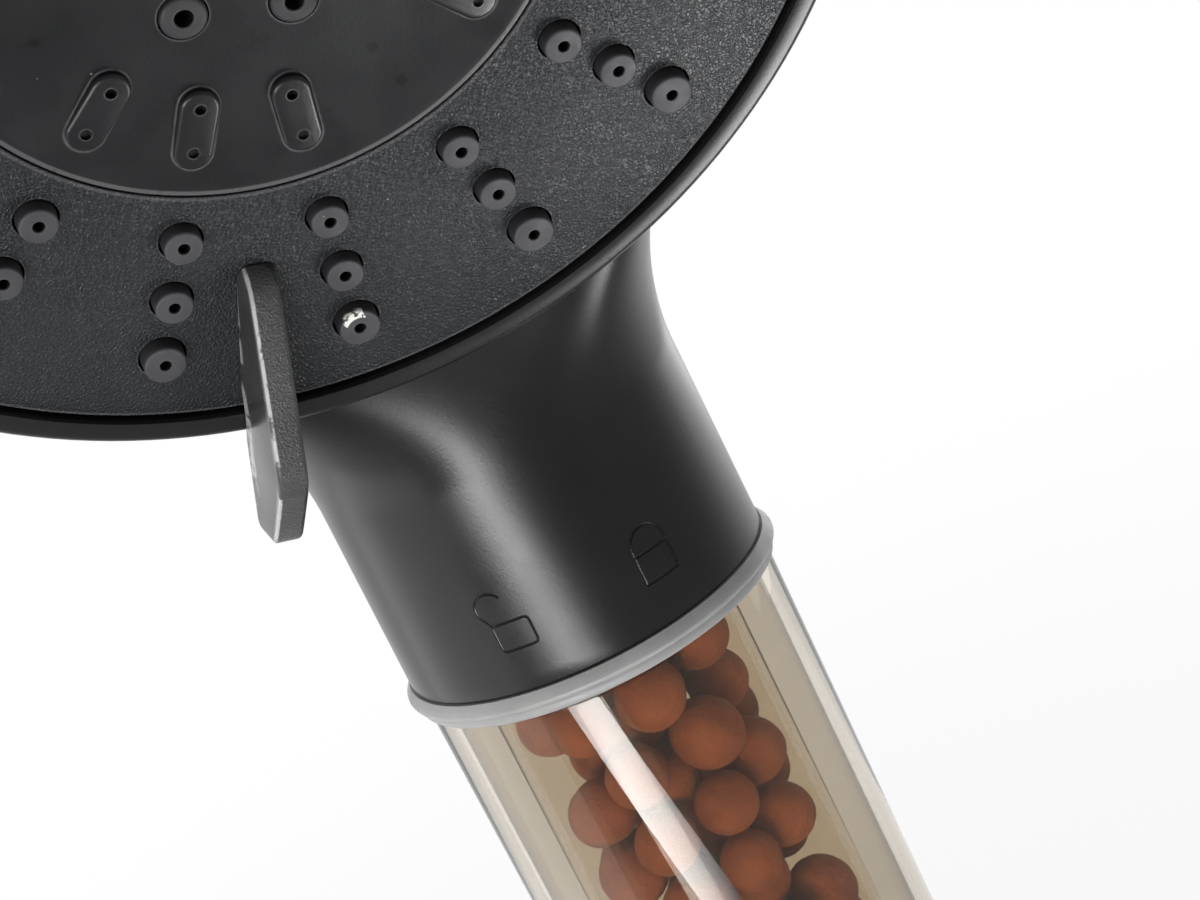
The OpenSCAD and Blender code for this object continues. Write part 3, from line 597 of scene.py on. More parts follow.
# hose thread
inlet = {"threadRadius": 10.4775, "pitch": 1.814, "threadDepth": 1.162, "sink": 0.6, "foot": 0.46,
    "crest": 0.08, "length": 12, "bore": 6.5, "shoulder": 13, "shoulderHeight": 2, "spigot": 11.5,
    "spigotHeight": 9, "round": 0.3}


def makeInlet():
    root = inlet["threadRadius"] - inlet["threadDepth"]
    top = inlet["length"] + inlet["shoulderHeight"]
    end = top + inlet["spigotHeight"]
    outline = [(inlet["bore"], 0), (root, 0), (root, inlet["length"]),
        (inlet["shoulder"], inlet["length"]), (inlet["shoulder"], top), (inlet["spigot"], top),
        (inlet["spigot"], end), (inlet["bore"], end)]
    body = turnedPiece("hoseInlet", closed(outline), 96)
    softenEdges(body, inlet["round"])
    pitch = inlet["pitch"]
    turns = int(inlet["length"] / pitch) - 1
    start = (inlet["length"] - pitch * turns) / 2
    foot, crest, inside = pitch * inlet["foot"], pitch * inlet["crest"], root - inlet["sink"]
    tooth = [(inside, -foot), (root, -foot), (inlet["threadRadius"], -crest),
        (inlet["threadRadius"], crest), (root, foot), (inside, foot)]
    thread = drawLine("thread", [(radius, 0, start + level) for radius, level in tooth])
    bpy.ops.mesh.select_all(action="SELECT")
    bpy.ops.mesh.edge_face_add()
    setMode("OBJECT")
    winding = thread.modifiers.new("winding", "SCREW")
    winding.angle = math.tau
    winding.screw_offset = pitch * mm
    winding.iterations = turns
    winding.steps = winding.render_steps = 64
    pickOnly(thread)
    bpy.ops.object.modifier_apply(modifier=winding.name)
    cleanUp(thread)
    whole = joinAll("hoseInlet", [body, thread])
    dress(whole, "handle", "brightMetal", "inlet_fitting", 30)


makeInlet()

# end cap and foot ring
endCap = {"foot": 13.6, "footEdge": 1, "bottom": 14, "top": 38, "radius": 19.5, "swell": 0.7,
    "collar": 17, "collarTop": 53, "wall": 2.4, "taperTop": 31.4, "taperFoot": 28.4, "pocket": 14.8,
    "floor": 25.4, "bore": 11.7, "seat": 23.2, "waterway": 6.5, "round": 0.3}
footRing = {"radius": 20.3, "inner": 17.1, "bottom": 38, "top": 41, "edge": 0.7}


def makeEndCap():
    foot, bottom, inner = endCap["foot"], endCap["bottom"], endCap["collar"] - endCap["wall"]
    rise = (endCap["top"] - bottom) * endCap["swell"]
    grow = endCap["radius"] - foot
    side = [(foot + grow * math.sin(a), bottom + endCap["footEdge"] + rise * (1 - math.cos(a)))
        for a in [math.radians(3 * step) for step in range(31)]]
    outline = [(endCap["bore"], bottom), (foot, bottom)] + side
    outline += [(endCap["radius"], endCap["top"]), (endCap["collar"], endCap["top"]),
        (endCap["collar"], endCap["collarTop"]), (inner, endCap["collarTop"]),
        (inner, endCap["taperTop"]), (endCap["pocket"], endCap["taperFoot"]),
        (endCap["pocket"], endCap["floor"]), (endCap["waterway"], endCap["floor"]),
        (endCap["waterway"], endCap["seat"]), (endCap["bore"], endCap["seat"])]
    piece = turnedPiece("endCap", closed(outline), 128)
    softenEdges(piece, endCap["round"], limit=50)
    dress(piece, "handle", "shellPlastic", "end_cap", 35)


def makeFootRing():
    outline = hoop(footRing["inner"], footRing["radius"], footRing["bottom"], footRing["top"])
    piece = turnedPiece("footRing", outline, 160)
    softenEdges(piece, footRing["edge"], 5)
    dress(piece, "handle", "greyRubber", "foot_ring", 50)


makeEndCap()
makeFootRing()

# clear tube and cartridge
tube = {"foot": 19.5, "top": 20.15, "bottom": 41, "shoulder": 137, "shoulderWall": 1, "wall": 2.2,
    "spigot": 16.4, "spigotTop": 159, "spigotBore": 14.8, "round": 0.25, "lugAngle": 14,
    "lugHeight": 3, "lugRise": 8, "lugOut": 1.5, "lugPlay": 0.1, "lugRound": 0.3}
cartridge = {"radius": 14.5, "wall": 1.1, "bottom": 28.6, "top": 156, "round": 0.2}


def makeTube():
    under = tube["shoulder"] - tube["shoulderWall"]
    outline = [(tube["foot"] - tube["wall"], tube["bottom"]), (tube["foot"], tube["bottom"]),
        (tube["top"], tube["shoulder"]), (tube["spigot"], tube["shoulder"]),
        (tube["spigot"], tube["spigotTop"]), (tube["spigotBore"], tube["spigotTop"]),
        (tube["spigotBore"], under), (tube["top"] - tube["wall"], under)]
    piece = turnedPiece("clearTube", closed(outline), 192)
    softenEdges(piece, tube["round"], 3, 40)
    parts = [piece]
    reach = tube["spigot"] + tube["lugOut"] / 2
    level = neckEdge + tube["lugRise"] + tube["lugHeight"] / 2
    wide = 2 * reach * math.sin(math.radians(tube["lugAngle"] / 2))
    for side in (0, 180):
        lug = addBlock((reach, 0, level), (tube["lugOut"] - tube["lugPlay"], wide, tube["lugHeight"]))
        lug.data.transform(Matrix.Rotation(math.radians(side), 4, "Z"))
        softenEdges(lug, tube["lugRound"])
        parts.append(lug)
    piece = joinAll("clearTube", parts)
    dress(piece, "handle", "tubePlastic", "handle_tube")


def makeCartridge():
    inner = cartridge["radius"] - cartridge["wall"]
    outline = hoop(inner, cartridge["radius"], cartridge["bottom"], cartridge["top"])
    piece = turnedPiece("cartridgeTube", outline, 160)
    softenEdges(piece, cartridge["round"], 3)
    dress(piece, "handle", "cartridgePlastic", "cartridge_tube")


makeTube()
makeCartridge()
print("handle made")

# mineral balls, settled loosely into the cartridge; a ball is pushed off its next few neighbours
balls = {"count": 136, "small": 3.6, "large": 4.15, "chamber": 13.33, "bottom": 30.75, "top": 153.9,
    "seed": 4, "rounds": 260, "neighbours": 25, "lump": 0.05, "lumpSeed": 3, "squeeze": (0.95, 0.93)}


def settleBalls():
    pick = random.Random(balls["seed"])
    sizes = [pick.uniform(balls["small"], balls["large"]) for _ in range(balls["count"])]
    height = balls["top"] - balls["bottom"]
    places = []
    for index, size in enumerate(sizes):
        angle, out = pick.uniform(0, math.tau), pick.uniform(0, balls["chamber"] - size)
        level = balls["bottom"] + size + (height - 2 * size) * (index + 0.5) / balls["count"]
        places.append(Vector((out * math.cos(angle), out * math.sin(angle), level)))
    for turn in range(balls["rounds"]):
        order = sorted(range(len(places)), key=lambda index: places[index].z)
        for rank, one in enumerate(order):
            for other in order[rank + 1:rank + 1 + balls["neighbours"]]:
                apart = places[other] - places[one]
                reach = sizes[one] + sizes[other]
                if apart.length < reach:
                    push = apart.normalized() * (reach - apart.length) * 0.5
                    places[other] += push
                    places[one] -= push
        for index, place in enumerate(places):
            flat = Vector((place.x, place.y, 0))
            room = balls["chamber"] - sizes[index]
            if flat.length > room:
                flat *= room / flat.length
            low, high = balls["bottom"] + sizes[index], balls["top"] - sizes[index]
            places[index] = Vector((flat.x, flat.y, min(max(place.z, low), high)))
    return list(zip(places, sizes)), pick


def makeBalls():
    settled, pick = settleBalls()
    pickNothing()
    bpy.ops.mesh.primitive_uv_sphere_add(segments=28, ring_count=16, radius=1)
    first = bpy.context.object
    setMode("EDIT")
    bpy.ops.mesh.select_all(action="SELECT")
    bpy.ops.transform.vertex_random(offset=balls["lump"], seed=balls["lumpSeed"])
    bpy.ops.mesh.vertices_smooth(factor=0.5, repeat=6)
    setMode("OBJECT")
    widest = max(point.co.length for point in first.data.vertices)
    copies = []
    for place, size in settled:
        turn = Matrix.Rotation(pick.uniform(0, math.tau), 4, Vector((pick.random(), pick.random(), 1)))
        squeeze = Matrix.Diagonal((1, *[pick.uniform(least, 1) for least in balls["squeeze"]], 1))
        copies.append(copyTo(first, Matrix.Translation(place * mm) @ turn
            @ Matrix.Scale(size * mm / widest, 4) @ squeeze))
    bpy.data.objects.remove(first, do_unlink=True)
    whole = joinAll("mineralBalls", copies)
    dress(whole, "handle", "firedClay", "mineral_balls", 60)


makeBalls()
print("balls settled")

# grey collar ring: a step below, a bead above it that slopes in to the neck
collar = {"inner": 16.6, "step": 20.95, "bead": 21.6, "bottom": 137, "top": 140, "stepShare": 0.4,
    "gap": 0.05, "footRound": 0.45, "groove": (0.1, 0.12), "beadSize": 0.55, "beadRise": 0.62,
    "slope": [(0.42, 0.5), (0.75, 0.08)], "topGap": 0.02}


def makeCollar():
    line = collar["bottom"] + (collar["top"] - collar["bottom"]) * collar["stepShare"]
    size, foot = (collar["top"] - line) / 2, collar["footRound"]
    bead, (inward, below) = size * collar["beadSize"], collar["groove"]
    outline = [(collar["inner"], collar["bottom"] + collar["gap"])]
    outline += arc(collar["step"] - foot, collar["bottom"] + collar["gap"] + foot, foot, -90, 0, 5)
    outline += [(collar["step"], line - below), (collar["step"] - inward, line)]
    outline += arc(collar["bead"] - bead, line + size * collar["beadRise"], bead, -80, 20, 8)
    outline += [(collar["bead"] - inset, collar["top"] - drop) for inset, drop in collar["slope"]]
    outline += [(collar["inner"], collar["top"] - collar["topGap"])]
    piece = turnedPiece("collarRing", closed(outline), 224)
    dress(piece, "handle", "greyRubber", "collar_ring")


makeCollar()

# head shell: rings from the neck's foot, up over the head, round the rim and back down inside
shell = {"neck": 20.66, "draw": 0.2, "neckHeight": 22, "wall": 2, "rim": 55, "mouth": 52.6, "band": 9,
    "rimDepth": 1.5, "lip": 0.7, "rimRound": 0.9, "flare": 1.75, "rise": 33, "swell": 22.4, "lean": -20,
    "ease": 6, "innerDrop": 3, "innerLow": 1.05, "innerTop": 1.2, "neckRound": 0.25,
    "rimEdge": [(0.4, 0.02), (0.12, 0.1), (0, 0.35)], "sides": 192, "steps": 48, "neckSteps": 14,
    "innerSteps": 16}


def atFace(down, depth):  # (y, z) in the middle plane, from the face's centre
    place = faceCentre / mm - faceUp * down - faceOut * depth
    return Vector((place.y, place.z))


def bent(ends, share):
    left = 1 - share
    return (ends[0] * left ** 3 + ends[1] * 3 * share * left ** 2
        + ends[2] * 3 * share ** 2 * left + ends[3] * share ** 3)


def blendRing(share, inset):  # front point, back point and half width of the head at a share of its way
    radius = shell["neck"] - shell["draw"] - inset
    start, ease = neckEdge + shell["neckHeight"], shell["ease"]
    low = atFace(shell["rim"] - inset * shell["innerLow"],
        shell["band"] + (shell["innerDrop"] if inset else 0))
    top = atFace(-shell["rim"] + inset * shell["innerTop"], shell["band"])
    front = bent((Vector((-radius, start)), Vector((-radius, start + ease)),
        Vector((-radius, low.y - ease)), low), share)
    back = bent((Vector((radius, start)), Vector((radius, start + shell["rise"] - inset)),
        Vector((shell["lean"] - inset, faceCentre.z / mm + shell["swell"] - inset)), top), share)
    return front, back, radius + (shell["rim"] - inset - radius) * share ** shell["flare"]


def neckRing(height, inset):
    radius = shell["neck"] - shell["draw"] * height / shell["neckHeight"] - inset
    level = neckEdge + height
    return Vector((-radius, level)), Vector((radius, level)), radius


def rimRing(radius, depth):
    return atFace(radius, depth), atFace(-radius, depth), radius


def shellRings():
    steps, edge, rimRound = shell["steps"], shell["neckRound"], shell["rimRound"]
    tall, rim, mouth = shell["neckHeight"], shell["rim"], shell["mouth"]
    rings = [neckRing(0, edge)]
    rings += [neckRing(edge * (1 - math.cos(a)), edge * (1 - math.sin(a)))
        for a in (math.radians(30), math.radians(60), math.radians(90))]
    rings += [neckRing(tall * step / shell["neckSteps"], 0) for step in range(1, shell["neckSteps"])]
    rings += [blendRing(step / steps, 0) for step in range(steps)]
    depth = shell["rimDepth"] - shell["lip"]
    low = depth + rimRound
    rings += [rimRing(rim, shell["band"]), rimRing(rim, low + 2), rimRing(rim, low + 0.3)]
    rings += [rimRing(rim - rimRound + rimRound * math.cos(a), low - rimRound * math.sin(a))
        for a in [math.radians(11.25 * step) for step in range(9)]]
    rings += [rimRing(mouth + inward, depth + lower) for inward, lower in shell["rimEdge"]]
    rings += [rimRing(mouth, shell["rimDepth"] + 1), rimRing(mouth, shell["band"])]
    rings += [blendRing(1 - step / shell["innerSteps"], shell["wall"])
        for step in range(1, shell["innerSteps"])]
    rings += [neckRing(height, shell["wall"]) for height in (tall, tall / 2, 0)]
    return rings


def makeShell():
    rings = shellRings()
    pickNothing()
    front, back, half = rings[0]
    bpy.ops.mesh.primitive_circle_add(vertices=shell["sides"], radius=half * mm,
        location=(0, (front + back).x / 2 * mm, (front + back).y / 2 * mm))
    piece = bpy.context.object
    piece.name = "headShell"
    applyPlace()
    setMode("EDIT")
    bpy.ops.mesh.select_all(action="SELECT")
    tilt, long, middle = 0, half, (front + back) / 2
    for front, back, wide in rings[1:]:
        centre = Vector((0, middle.x, middle.y)) * mm
        newMiddle, span = (front + back) / 2, (back - front) / 2
        newTilt = math.atan2(span.y, span.x)
        bpy.ops.mesh.extrude_edges_move()
        turnPicked(-tilt, "X", centre)
        bpy.ops.transform.resize(value=(wide / half, span.length / long, 1), center_override=centre)
        turnPicked(newTilt, "X", centre)
        bpy.ops.transform.translate(value=Vector((0, *(newMiddle - middle))) * mm)
        tilt, long, half, middle = newTilt, span.length, wide, newMiddle
    bpy.ops.mesh.select_all(action="DESELECT")
    bpy.ops.mesh.select_non_manifold()
    bpy.ops.mesh.bridge_edge_loops()
    setMode("OBJECT")
    cleanUp(piece)
    return piece


# two padlocks are engraved on the neck, a closed one and an open one
padlock = {"closedAt": 22.8, "openAt": -22.4, "foot": 4.7, "width": 4, "body": 3, "tall": 5.7,
    "groove": 0.15, "corner": 0.45, "divider": 0.1, "bowSize": 1.6, "bowPlace": (0.75, 1.9),
    "bowTurn": (30, 232), "bowFoot": 0.1, "stitch": 0.4}


def onNeck(angle, across, up):  # a point on the neck's skin, across and up from the icon's foot
    height = padlock["foot"] + up
    radius = shell["neck"] - shell["draw"] * height / shell["neckHeight"]
    around = math.radians(angle) + across / radius
    return (radius * math.sin(around), -radius * math.cos(around), neckEdge + height)


def strokes():  # the padlocks' lines, as (angle round the neck, points across and up)
    half, corner, body = padlock["width"] / 2, padlock["corner"], padlock["body"]
    arch, line = padlock["tall"] - half, body + padlock["divider"]
    closedBody = [(-half, 0), (half, 0), (half, arch)] + arc(0, arch, half, 0, 180, 24) + [(-half, 0)]
    left, right, top = corner - half, half - corner, body - corner
    corners = ((left, corner, 180), (right, corner, 270), (right, top, 0), (left, top, 90))
    box = [point for x, y, turn in corners for point in arc(x, y, corner, turn, turn + 90, 5)]
    inward, up = padlock["bowPlace"]
    bow = arc(inward - half, body + up, padlock["bowSize"], *padlock["bowTurn"], 24)
    bow += [(padlock["bowFoot"] - half, body)]
    return [(padlock["closedAt"], closedBody), (padlock["closedAt"], [(-half, line), (half, line)]),
        (padlock["openAt"], closed(box)), (padlock["openAt"], bow)]


def engravePadlocks(piece):
    for angle, line in strokes():
        fine = []
        for (x0, y0), (x1, y1) in zip(line, line[1:]):
            parts = max(1, round(math.hypot(x1 - x0, y1 - y0) / padlock["stitch"]))
            shares = [part / parts for part in range(parts)]
            fine += [(x0 + (x1 - x0) * share, y0 + (y1 - y0) * share) for share in shares]
        ring = line[0] == line[-1]
        if not ring:
            fine.append(line[-1])
        cutter = drawLine("stroke", [onNeck(angle, x, y) for x, y in fine])
        setMode("OBJECT")
        if ring:  # the last point is tied to the first
            ends = (0, len(cutter.data.vertices) - 1)
            for index, point in enumerate(cutter.data.vertices):
                point.select = index in ends
            setMode("EDIT")
            bpy.ops.mesh.edge_face_add()
        pickOnly(cutter)
        bpy.ops.object.convert(target="CURVE")
        cutter.data.bevel_depth = padlock["groove"] * mm
        cutter.data.bevel_resolution = 2
        cutter.data.use_fill_caps = True
        bpy.ops.object.convert(target="MESH")
        cleanUp(cutter)
        cutAway(piece, cutter)


headShell = makeShell()
engravePadlocks(headShell)
dress(headShell, "head", "shellPlastic", "head_shell", 32)
print("head shell made")

# outer plate of the spray face, and the silicone mat behind it with its nozzles
plate = {"inner": 28.5, "edge": 52.2, "topDepth": 1.2, "fall": 0.3, "corner": 0.15, "back": 4.4,
    "skirtDepth": 8.5, "skirtWall": 1.8, "drill": 6}
nozzle = {"rows": (33, 39.25, 45.5), "count": 16, "tip": 1.7, "flare": 0.2, "outerExtra": 0.2,
    "hole": 0.5, "holeDepth": 3, "holeEdge": 0.1, "round": 0.22, "matTop": 4.4, "matBack": 5.2,
    "matInside": 2.4, "matOutside": 2.6, "overlap": 0.1, "play": 0.1}


def nozzleBase(row):
    return nozzle["tip"] + nozzle["flare"] + (nozzle["outerExtra"] if row == 2 else 0)


def nozzlePlaces():
    return [(row, place) for row, radius in enumerate(nozzle["rows"])
        for place in spotsAround(nozzle["count"], radius)]


def makePlate():
    inside = plate["edge"] - plate["skirtWall"]
    outline = [(plate["inner"], -plate["back"]), (plate["inner"], -plate["topDepth"]),
        (plate["edge"], -plate["topDepth"] - plate["fall"]), (plate["edge"], -plate["skirtDepth"]),
        (inside, -plate["skirtDepth"]), (inside, -plate["back"])]
    piece = turnedPiece("sprayPlate", closed(outline), 192)
    softenEdges(piece, plate["corner"], 3, 40)
    drillAll(piece, plate["drill"],
        [(nozzleBase(row) + nozzle["play"], place) for row, place in nozzlePlaces()])
    dressFace(piece, "platePlastic", "face_plate", 25)


def oneNozzle(tip, base, hole, depth, back, rounding):
    edge = nozzle["holeEdge"]
    outline = [(0, -depth), (hole, -depth), (hole, -edge), (hole + edge, 0), (tip, 0), (base, -back),
        (0, -back)]
    piece = turnedPiece("nozzle", outline, 40)
    softenEdges(piece, rounding, 4, 60)
    return piece


def makeMat(name, pieces, inner, outer, back, top):  # joins nozzles to the mat they stand on
    pieces.append(turnedPiece("mat", hoop(inner, outer, -back, -top), 96))
    return joinAll(name, pieces)


def makeNozzles():
    bases = [nozzleBase(row) for row in (0, 1, 2)]
    shapes = [oneNozzle(base - nozzle["flare"], base, nozzle["hole"], nozzle["holeDepth"],
        nozzle["matTop"] + nozzle["overlap"], nozzle["round"]) for base in bases]
    pieces = [copyTo(shapes[row], place) for row, place in nozzlePlaces()]
    for shape in shapes:
        bpy.data.objects.remove(shape, do_unlink=True)
    inner, outer = nozzle["rows"][0] - nozzle["matInside"], nozzle["rows"][2] + nozzle["matOutside"]
    whole = makeMat("nozzleMat", pieces, inner, outer, nozzle["matBack"], nozzle["matTop"])
    dressFace(whole, "nozzleSilicone", "nozzle_mat")


makePlate()
makeNozzles()
print("outer plate made")

# centre disc, the ring of massage nozzles in it and the cap in its middle
disc = {"radius": 28.4, "edge": 1.2, "dish": 1.25, "back": 4.8, "edgeRound": 0.22, "seat": 27.4,
    "flange": 30, "flangeFront": 4.4, "flangeBack": 4.9, "boss": 1.78, "bossUp": 0.36,
    "bossRound": 0.42, "bossFoot": 0.2, "mist": (20, 24.25), "mistHole": 0.48, "mistDrill": (-5.6, 0.4),
    "capHole": 6.6, "gapEvery": 4, "firstGap": 2}
massage = {"radius": 12, "count": 8, "tip": 2, "flare": 0.2, "hole": 0.8, "holeDepth": 2.2, "up": 0.4,
    "back": 5.6, "round": 0.35, "rim": 3.4, "tight": 0.02, "drill": 8}
centreCap = {"radius": 6.5, "back": 4.8, "crown": 0.35, "foot": (0.4, 0.3), "footEdge": 0.5}


def dishDepth(radius):  # the disc's front, behind the plane of the nozzle tips
    return disc["edge"] + disc["dish"] * (1 - (radius / disc["radius"]) ** 4)


def oneBoss():  # a round boss drawn out into a long one, with its two mist holes
    first, last = disc["mist"]
    front = dishDepth(last) - disc["bossUp"]
    boss = addRod(disc["boss"], disc["bossFoot"] - disc["back"], -front, first, 48)
    setMode("EDIT")
    pickPoints(boss, lambda place: place.x > (first + 0.01) * mm)
    bpy.ops.transform.translate(value=((last - first) * mm, 0, 0))
    setMode("OBJECT")
    softenEdges(boss, disc["bossRound"], 5, 50)
    for away in disc["mist"]:
        cutAway(boss, addRod(disc["mistHole"], *disc["mistDrill"], away, 24))
    return boss


def makeDisc():
    edge, back, flange = disc["edgeRound"], -disc["back"], disc["flange"]
    outer = disc["radius"] - edge
    radii = [disc["capHole"] + (outer - disc["capHole"]) * step / 24 for step in range(24)]
    outline = [(disc["capHole"], back)] + [(radius, -dishDepth(radius)) for radius in radii]
    outline += arc(outer, -disc["edge"] - edge, edge, 90, 0, 5)
    outline += [(disc["radius"], -disc["flangeFront"]), (flange, -disc["flangeFront"]),
        (flange, -disc["flangeBack"]), (disc["seat"], -disc["flangeBack"]), (disc["seat"], back)]
    piece = turnedPiece("centreDisc", closed(outline), 192)
    drill = massage["tip"] + massage["flare"] - massage["tight"]
    drillAll(piece, massage["drill"],
        [(drill, place) for place in spotsAround(massage["count"], massage["radius"])])
    boss = oneBoss()
    bosses = [copyTo(boss, place) for step, place in enumerate(spotsAround(nozzle["count"], 0, -0.5))
        if step % disc["gapEvery"] != disc["firstGap"]]
    bpy.data.objects.remove(boss, do_unlink=True)
    whole = joinAll("centreDisc", [piece] + bosses)
    dressFace(whole, "discPlastic", "centre_disc", 35)


def makeCentreNozzles():
    front, base = dishDepth(massage["radius"]) - massage["up"], massage["tip"] + massage["flare"]
    shape = oneNozzle(massage["tip"], base, massage["hole"], massage["holeDepth"],
        disc["back"] + nozzle["overlap"] - front, massage["round"])
    pieces = [copyTo(shape, Matrix.Translation((0, 0, -front * mm)) @ place)
        for place in spotsAround(massage["count"], massage["radius"])]
    bpy.data.objects.remove(shape, do_unlink=True)
    low, high = massage["radius"] - massage["rim"], massage["radius"] + massage["rim"]
    whole = makeMat("centreNozzles", pieces, low, high, massage["back"], disc["back"])
    dressFace(whole, "centreSilicone", "centre_nozzles")


def makeCentreCap():
    edge, front, back = centreCap["radius"], dishDepth(centreCap["radius"]), -centreCap["back"]
    inward, up = centreCap["foot"]
    crown = [(edge * math.cos(a), -front - centreCap["crown"] * (1 - math.sin(a)))
        for a in [math.radians(10 * step) for step in range(9)]]
    outline = [(0, back + up), (edge - inward, back + up), (edge, back + centreCap["footEdge"])]
    piece = turnedPiece("centreCap", outline + crown + [(0, -front)], 96)
    dressFace(piece, "discPlastic", "centre_cap", 45)


makeDisc()
makeCentreNozzles()
makeCentreCap()
print("centre disc made")

# thumb lever: its ridge rises from the plate, and its foot crosses the rim
lever = {"ridge": 1.35, "rootIn": 1.9, "rootOut": 2.1, "edge": 0.35, "corner": 1.5, "tipShare": 0.5,
    "gap": 0.05, "plateEnd": 50.5, "rimLevel": -0.5, "rimEnd": 55.6, "rimRise": 0.4,
    "ridgeLine": [(36.2, -0.9), (36.6, 0.2), (37.4, 1.2), (38.5, 1.9), (41.8, 3.55),
        (45, 5.05), (47.5, 6.2), (50.45, 7.5), (50.55, 7.55), (52.4, 8.4), (53.7, 8.75), (55.4, 8.45),
        (58, 7.5), (61, 6.4), (62.7, 5.7), (63.3, 5.4), (63.75, 5.1), (64.05, 4.7), (64.2, 4.2)]}


def leverFoot(at):
    if at > lever["plateEnd"]:
        return lever["rimLevel"] + max(0, at - lever["rimEnd"]) * lever["rimRise"]
    out = (at - plate["inner"]) / (plate["edge"] - plate["inner"])
    return lever["gap"] - plate["topDepth"] - plate["fall"] * out


def makeLever():
    line, slack = lever["ridgeLine"], 0.02 * mm
    start, end = line[0][0], line[-1][0]
    piece = addBlock(((start + end) / 2, 0, 0.5), (end - start, 2, 1))
    piece.name = "thumbLever"
    setMode("EDIT")
    for at, top in line[1:-1]:
        bpy.ops.mesh.select_all(action="SELECT")
        bpy.ops.mesh.bisect(plane_co=(at * mm, 0, 0), plane_no=(1, 0, 0))
    for at, top in line:
        near = 1 - min(at - start, end - at, lever["corner"]) / lever["corner"]
        narrow = lever["tipShare"] + (1 - lever["tipShare"]) * (1 - near ** 2) ** 0.5
        root = lever["rootIn"] + (lever["rootOut"] - lever["rootIn"]) * (at - start) / (end - start)
        for height, level, half in ((1, top, lever["ridge"]), (0, leverFoot(at), root)):
            pickPoints(piece, lambda place: abs(place.x - at * mm) < slack
                and abs(place.z - height * mm) < slack)
            bpy.ops.transform.resize(value=(1, half * narrow, 1), center_override=(at * mm, 0, 0))
            bpy.ops.transform.translate(value=(0, 0, (level - height) * mm))
    setMode("OBJECT")
    cleanUp(piece)
    softenEdges(piece, lever["edge"], 4, 30)
    dressFace(piece, "leverPlastic", "selector_lever", place=aroundFace(0))


makeLever()
print("lever made")

# inner pieces keep their shape and get their finish
keptFinishes = {
    "brightMetal": ["seal_spring", "detent_spring", "pivot_washer", "pivot_screw", "lever_screws",
        "foot_strainer", "top_strainer"],
    "sealRubber": ["inlet_seal", "cap_seal", "spigot_seal", "seal_cup"],
    "palePlastic": ["cartridge_foot", "cartridge_top", "bayonet_socket", "waterway", "diverter_body",
        "distributor"],
}
for finish, names in keptFinishes.items():
    for name in names:
        wear(nodes[name], finish)

# stage, lamps and camera
stage = {"floor": (0.88, 0.88, 0.88), "rough": 0.9, "drop": 0.5, "size": 6, "glow": 0.88,
    "glossyGlow": (0.05, 1), "behind": 0.25, "fadeFrom": 150, "fadeTo": 450, "wallLight": 1.1,
    "ceilingLight": 0.3, "frontLight": 0.2}


def makeFloor():  # a pale floor that melts into the white background away from the object
    pickNothing()
    low = cadBox[0][2] - stage["drop"] * mm
    bpy.ops.mesh.primitive_plane_add(size=stage["size"], location=(0, 0, low))
    floor = bpy.context.object
    floor.name = "floor"
    applyPlace()
    finish = Finish("paleFloor")
    finish.plain({"Base Color": (*stage["floor"], 1), "Roughness": stage["rough"]})
    tree, spot = finish.tree, finish.place
    away = vectorNode(tree, "LENGTH", spot).outputs["Value"]
    depth = addNode(tree, "SeparateXYZ", Vector=spot).outputs["Y"]
    behind = ramp(tree, depth, 0, stage["behind"], *stage["glossyGlow"])
    fade = ramp(tree, away, stage["fadeFrom"] * mm, stage["fadeTo"] * mm, stage["glow"], 1.0)
    path = addNode(tree, "LightPath")
    seen = mathNode(tree, "MAXIMUM", path.outputs["Is Camera Ray"], path.outputs["Is Transmission Ray"])
    mirrored = mathNode(tree, "MULTIPLY", path.outputs["Is Glossy Ray"], behind)
    share = mathNode(tree, "MAXIMUM", mathNode(tree, "MULTIPLY", seen, fade), mirrored)
    blendShaders(tree, share, finish.shader.outputs[0], addNode(tree, "Emission").outputs[0])
    floor.data.materials.append(finish.material)


def makeWorld():  # pale walls, a dimmer ceiling and a dimmer front; the camera sees plain white
    world = bpy.data.worlds.new("studio")
    bpy.context.scene.world = world
    world.use_nodes = True
    tree = world.node_tree
    path = addNode(tree, "LightPath")
    direction = addNode(tree, "SeparateXYZ", Vector=addNode(tree, "TexCoord").outputs["Generated"])
    walls = ramp(tree, direction.outputs["Y"], -0.8, 0.0, stage["frontLight"], stage["wallLight"])
    room = ramp(tree, direction.outputs["Z"], 0.15, 0.6, walls, stage["ceilingLight"])
    white = mathNode(tree, "MAXIMUM", path.outputs["Is Camera Ray"], path.outputs["Is Transmission Ray"])
    sky = tree.nodes["Background"].inputs
    feed(tree, sky["Strength"], mathNode(tree, "MAXIMUM", room, white))
    feed(tree, sky["Color"], (1, 1, 1, 1))


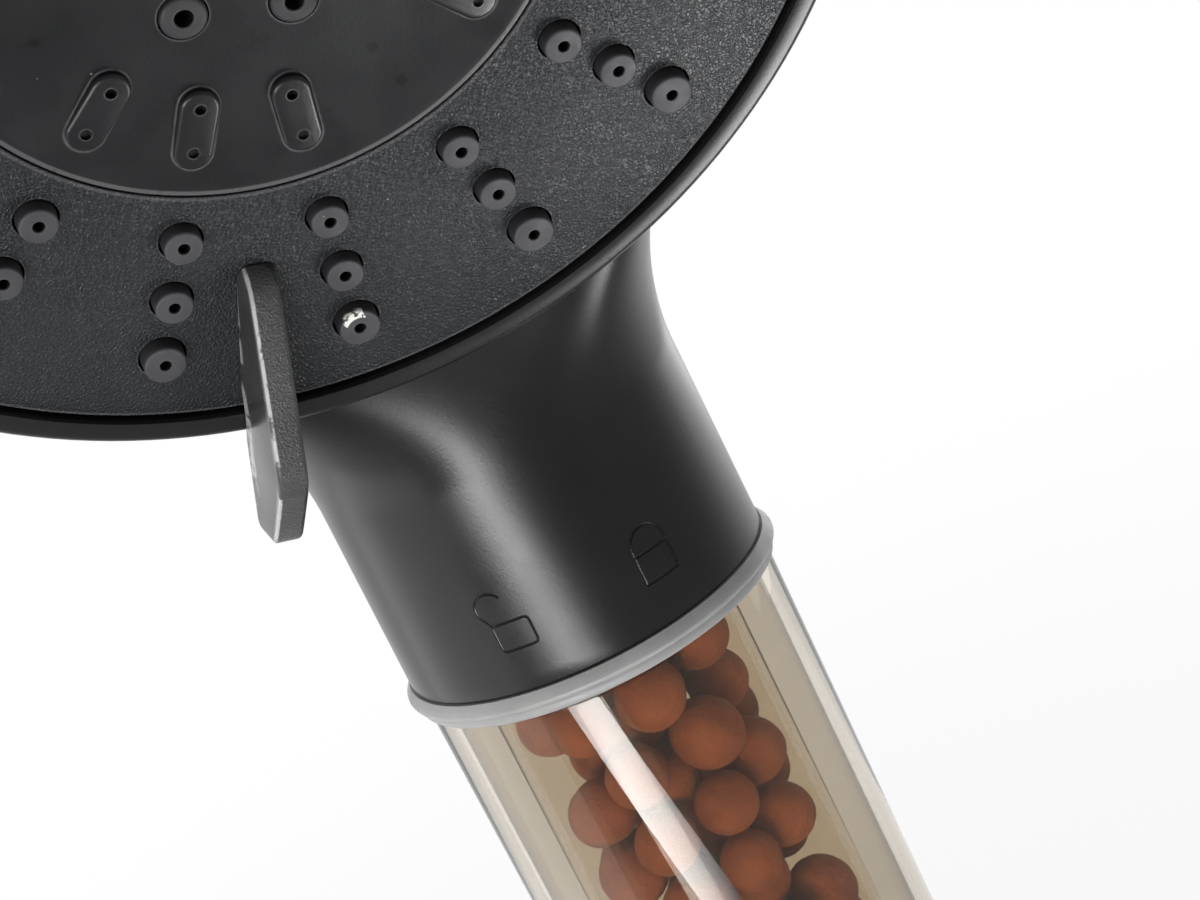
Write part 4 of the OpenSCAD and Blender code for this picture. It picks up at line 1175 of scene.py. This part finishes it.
# level is a lamp's brightness, where white paper has 1; beam is how wide it shines, in degrees
lamps = {
    "left": {"aim": (0, -10, 90), "place": (-200, -12, 75), "size": (270, 140), "level": 1.1},
    "leftHigh": {"aim": (0, -20, 150), "place": (-500, 60, 330), "size": (420, 300), "level": 1.5},
    "right": {"aim": (0, -20, 150), "place": (350, 365, 180), "size": (420, 400), "level": 1.25},
    "strip": {"aim": (-4, -20, 150), "place": (-107, -229, 98), "size": (60, 340), "tilt": 46,
        "level": 22, "beam": 60},
    "under": {"aim": (40, -45, 205), "place": (78, -86, 8), "size": (100, 100), "level": 23, "beam": 46},
}


def makeLamps():
    for name, lamp in lamps.items():
        wide, high = [side * mm for side in lamp["size"]]
        data = bpy.data.lights.new(name, "AREA")
        data.shape = "RECTANGLE"
        data.size, data.size_y = wide, high
        half = math.radians(lamp.get("beam", 180) / 2)
        data.spread = 2 * half
        data.energy = lamp["level"] * math.pi * wide * high * (1 - half / math.tan(half))
        place, aim = Vector(lamp["place"]) * mm, Vector(lamp["aim"]) * mm
        turn = (aim - place).to_track_quat("-Z", "Y").to_matrix().to_4x4()
        tilt = Matrix.Rotation(math.radians(lamp.get("tilt", 0)), 4, "Z")
        light = addObject(name, data, Matrix.Translation(place) @ turn @ tilt)
        light.visible_camera = False


view = {"place": (-1.9, -264.1, 229.5), "pitch": -15.98, "turn": -2.26, "roll": -26.2, "lens": 78,
    "sensor": 36, "clip": (0.01, 20)}


def makeCamera():
    data = bpy.data.cameras.new("camera")
    data.lens = view["lens"]
    data.sensor_width = view["sensor"]
    data.clip_start, data.clip_end = view["clip"]
    turn = Matrix()
    for angle, axis in ((view["turn"], "Z"), (90 + view["pitch"], "X"), (view["roll"], "Z")):
        turn @= Matrix.Rotation(math.radians(angle), 4, axis)
    place = Matrix.Translation(Vector(view["place"]) * mm)
    bpy.context.scene.camera = addObject("camera", data, place @ turn)


makeFloor()
makeWorld()
makeLamps()
makeCamera()
bpy.context.scene.view_settings.view_transform = "Standard"
print("stage, lamps and camera set")

bpy.context.view_layer.update()
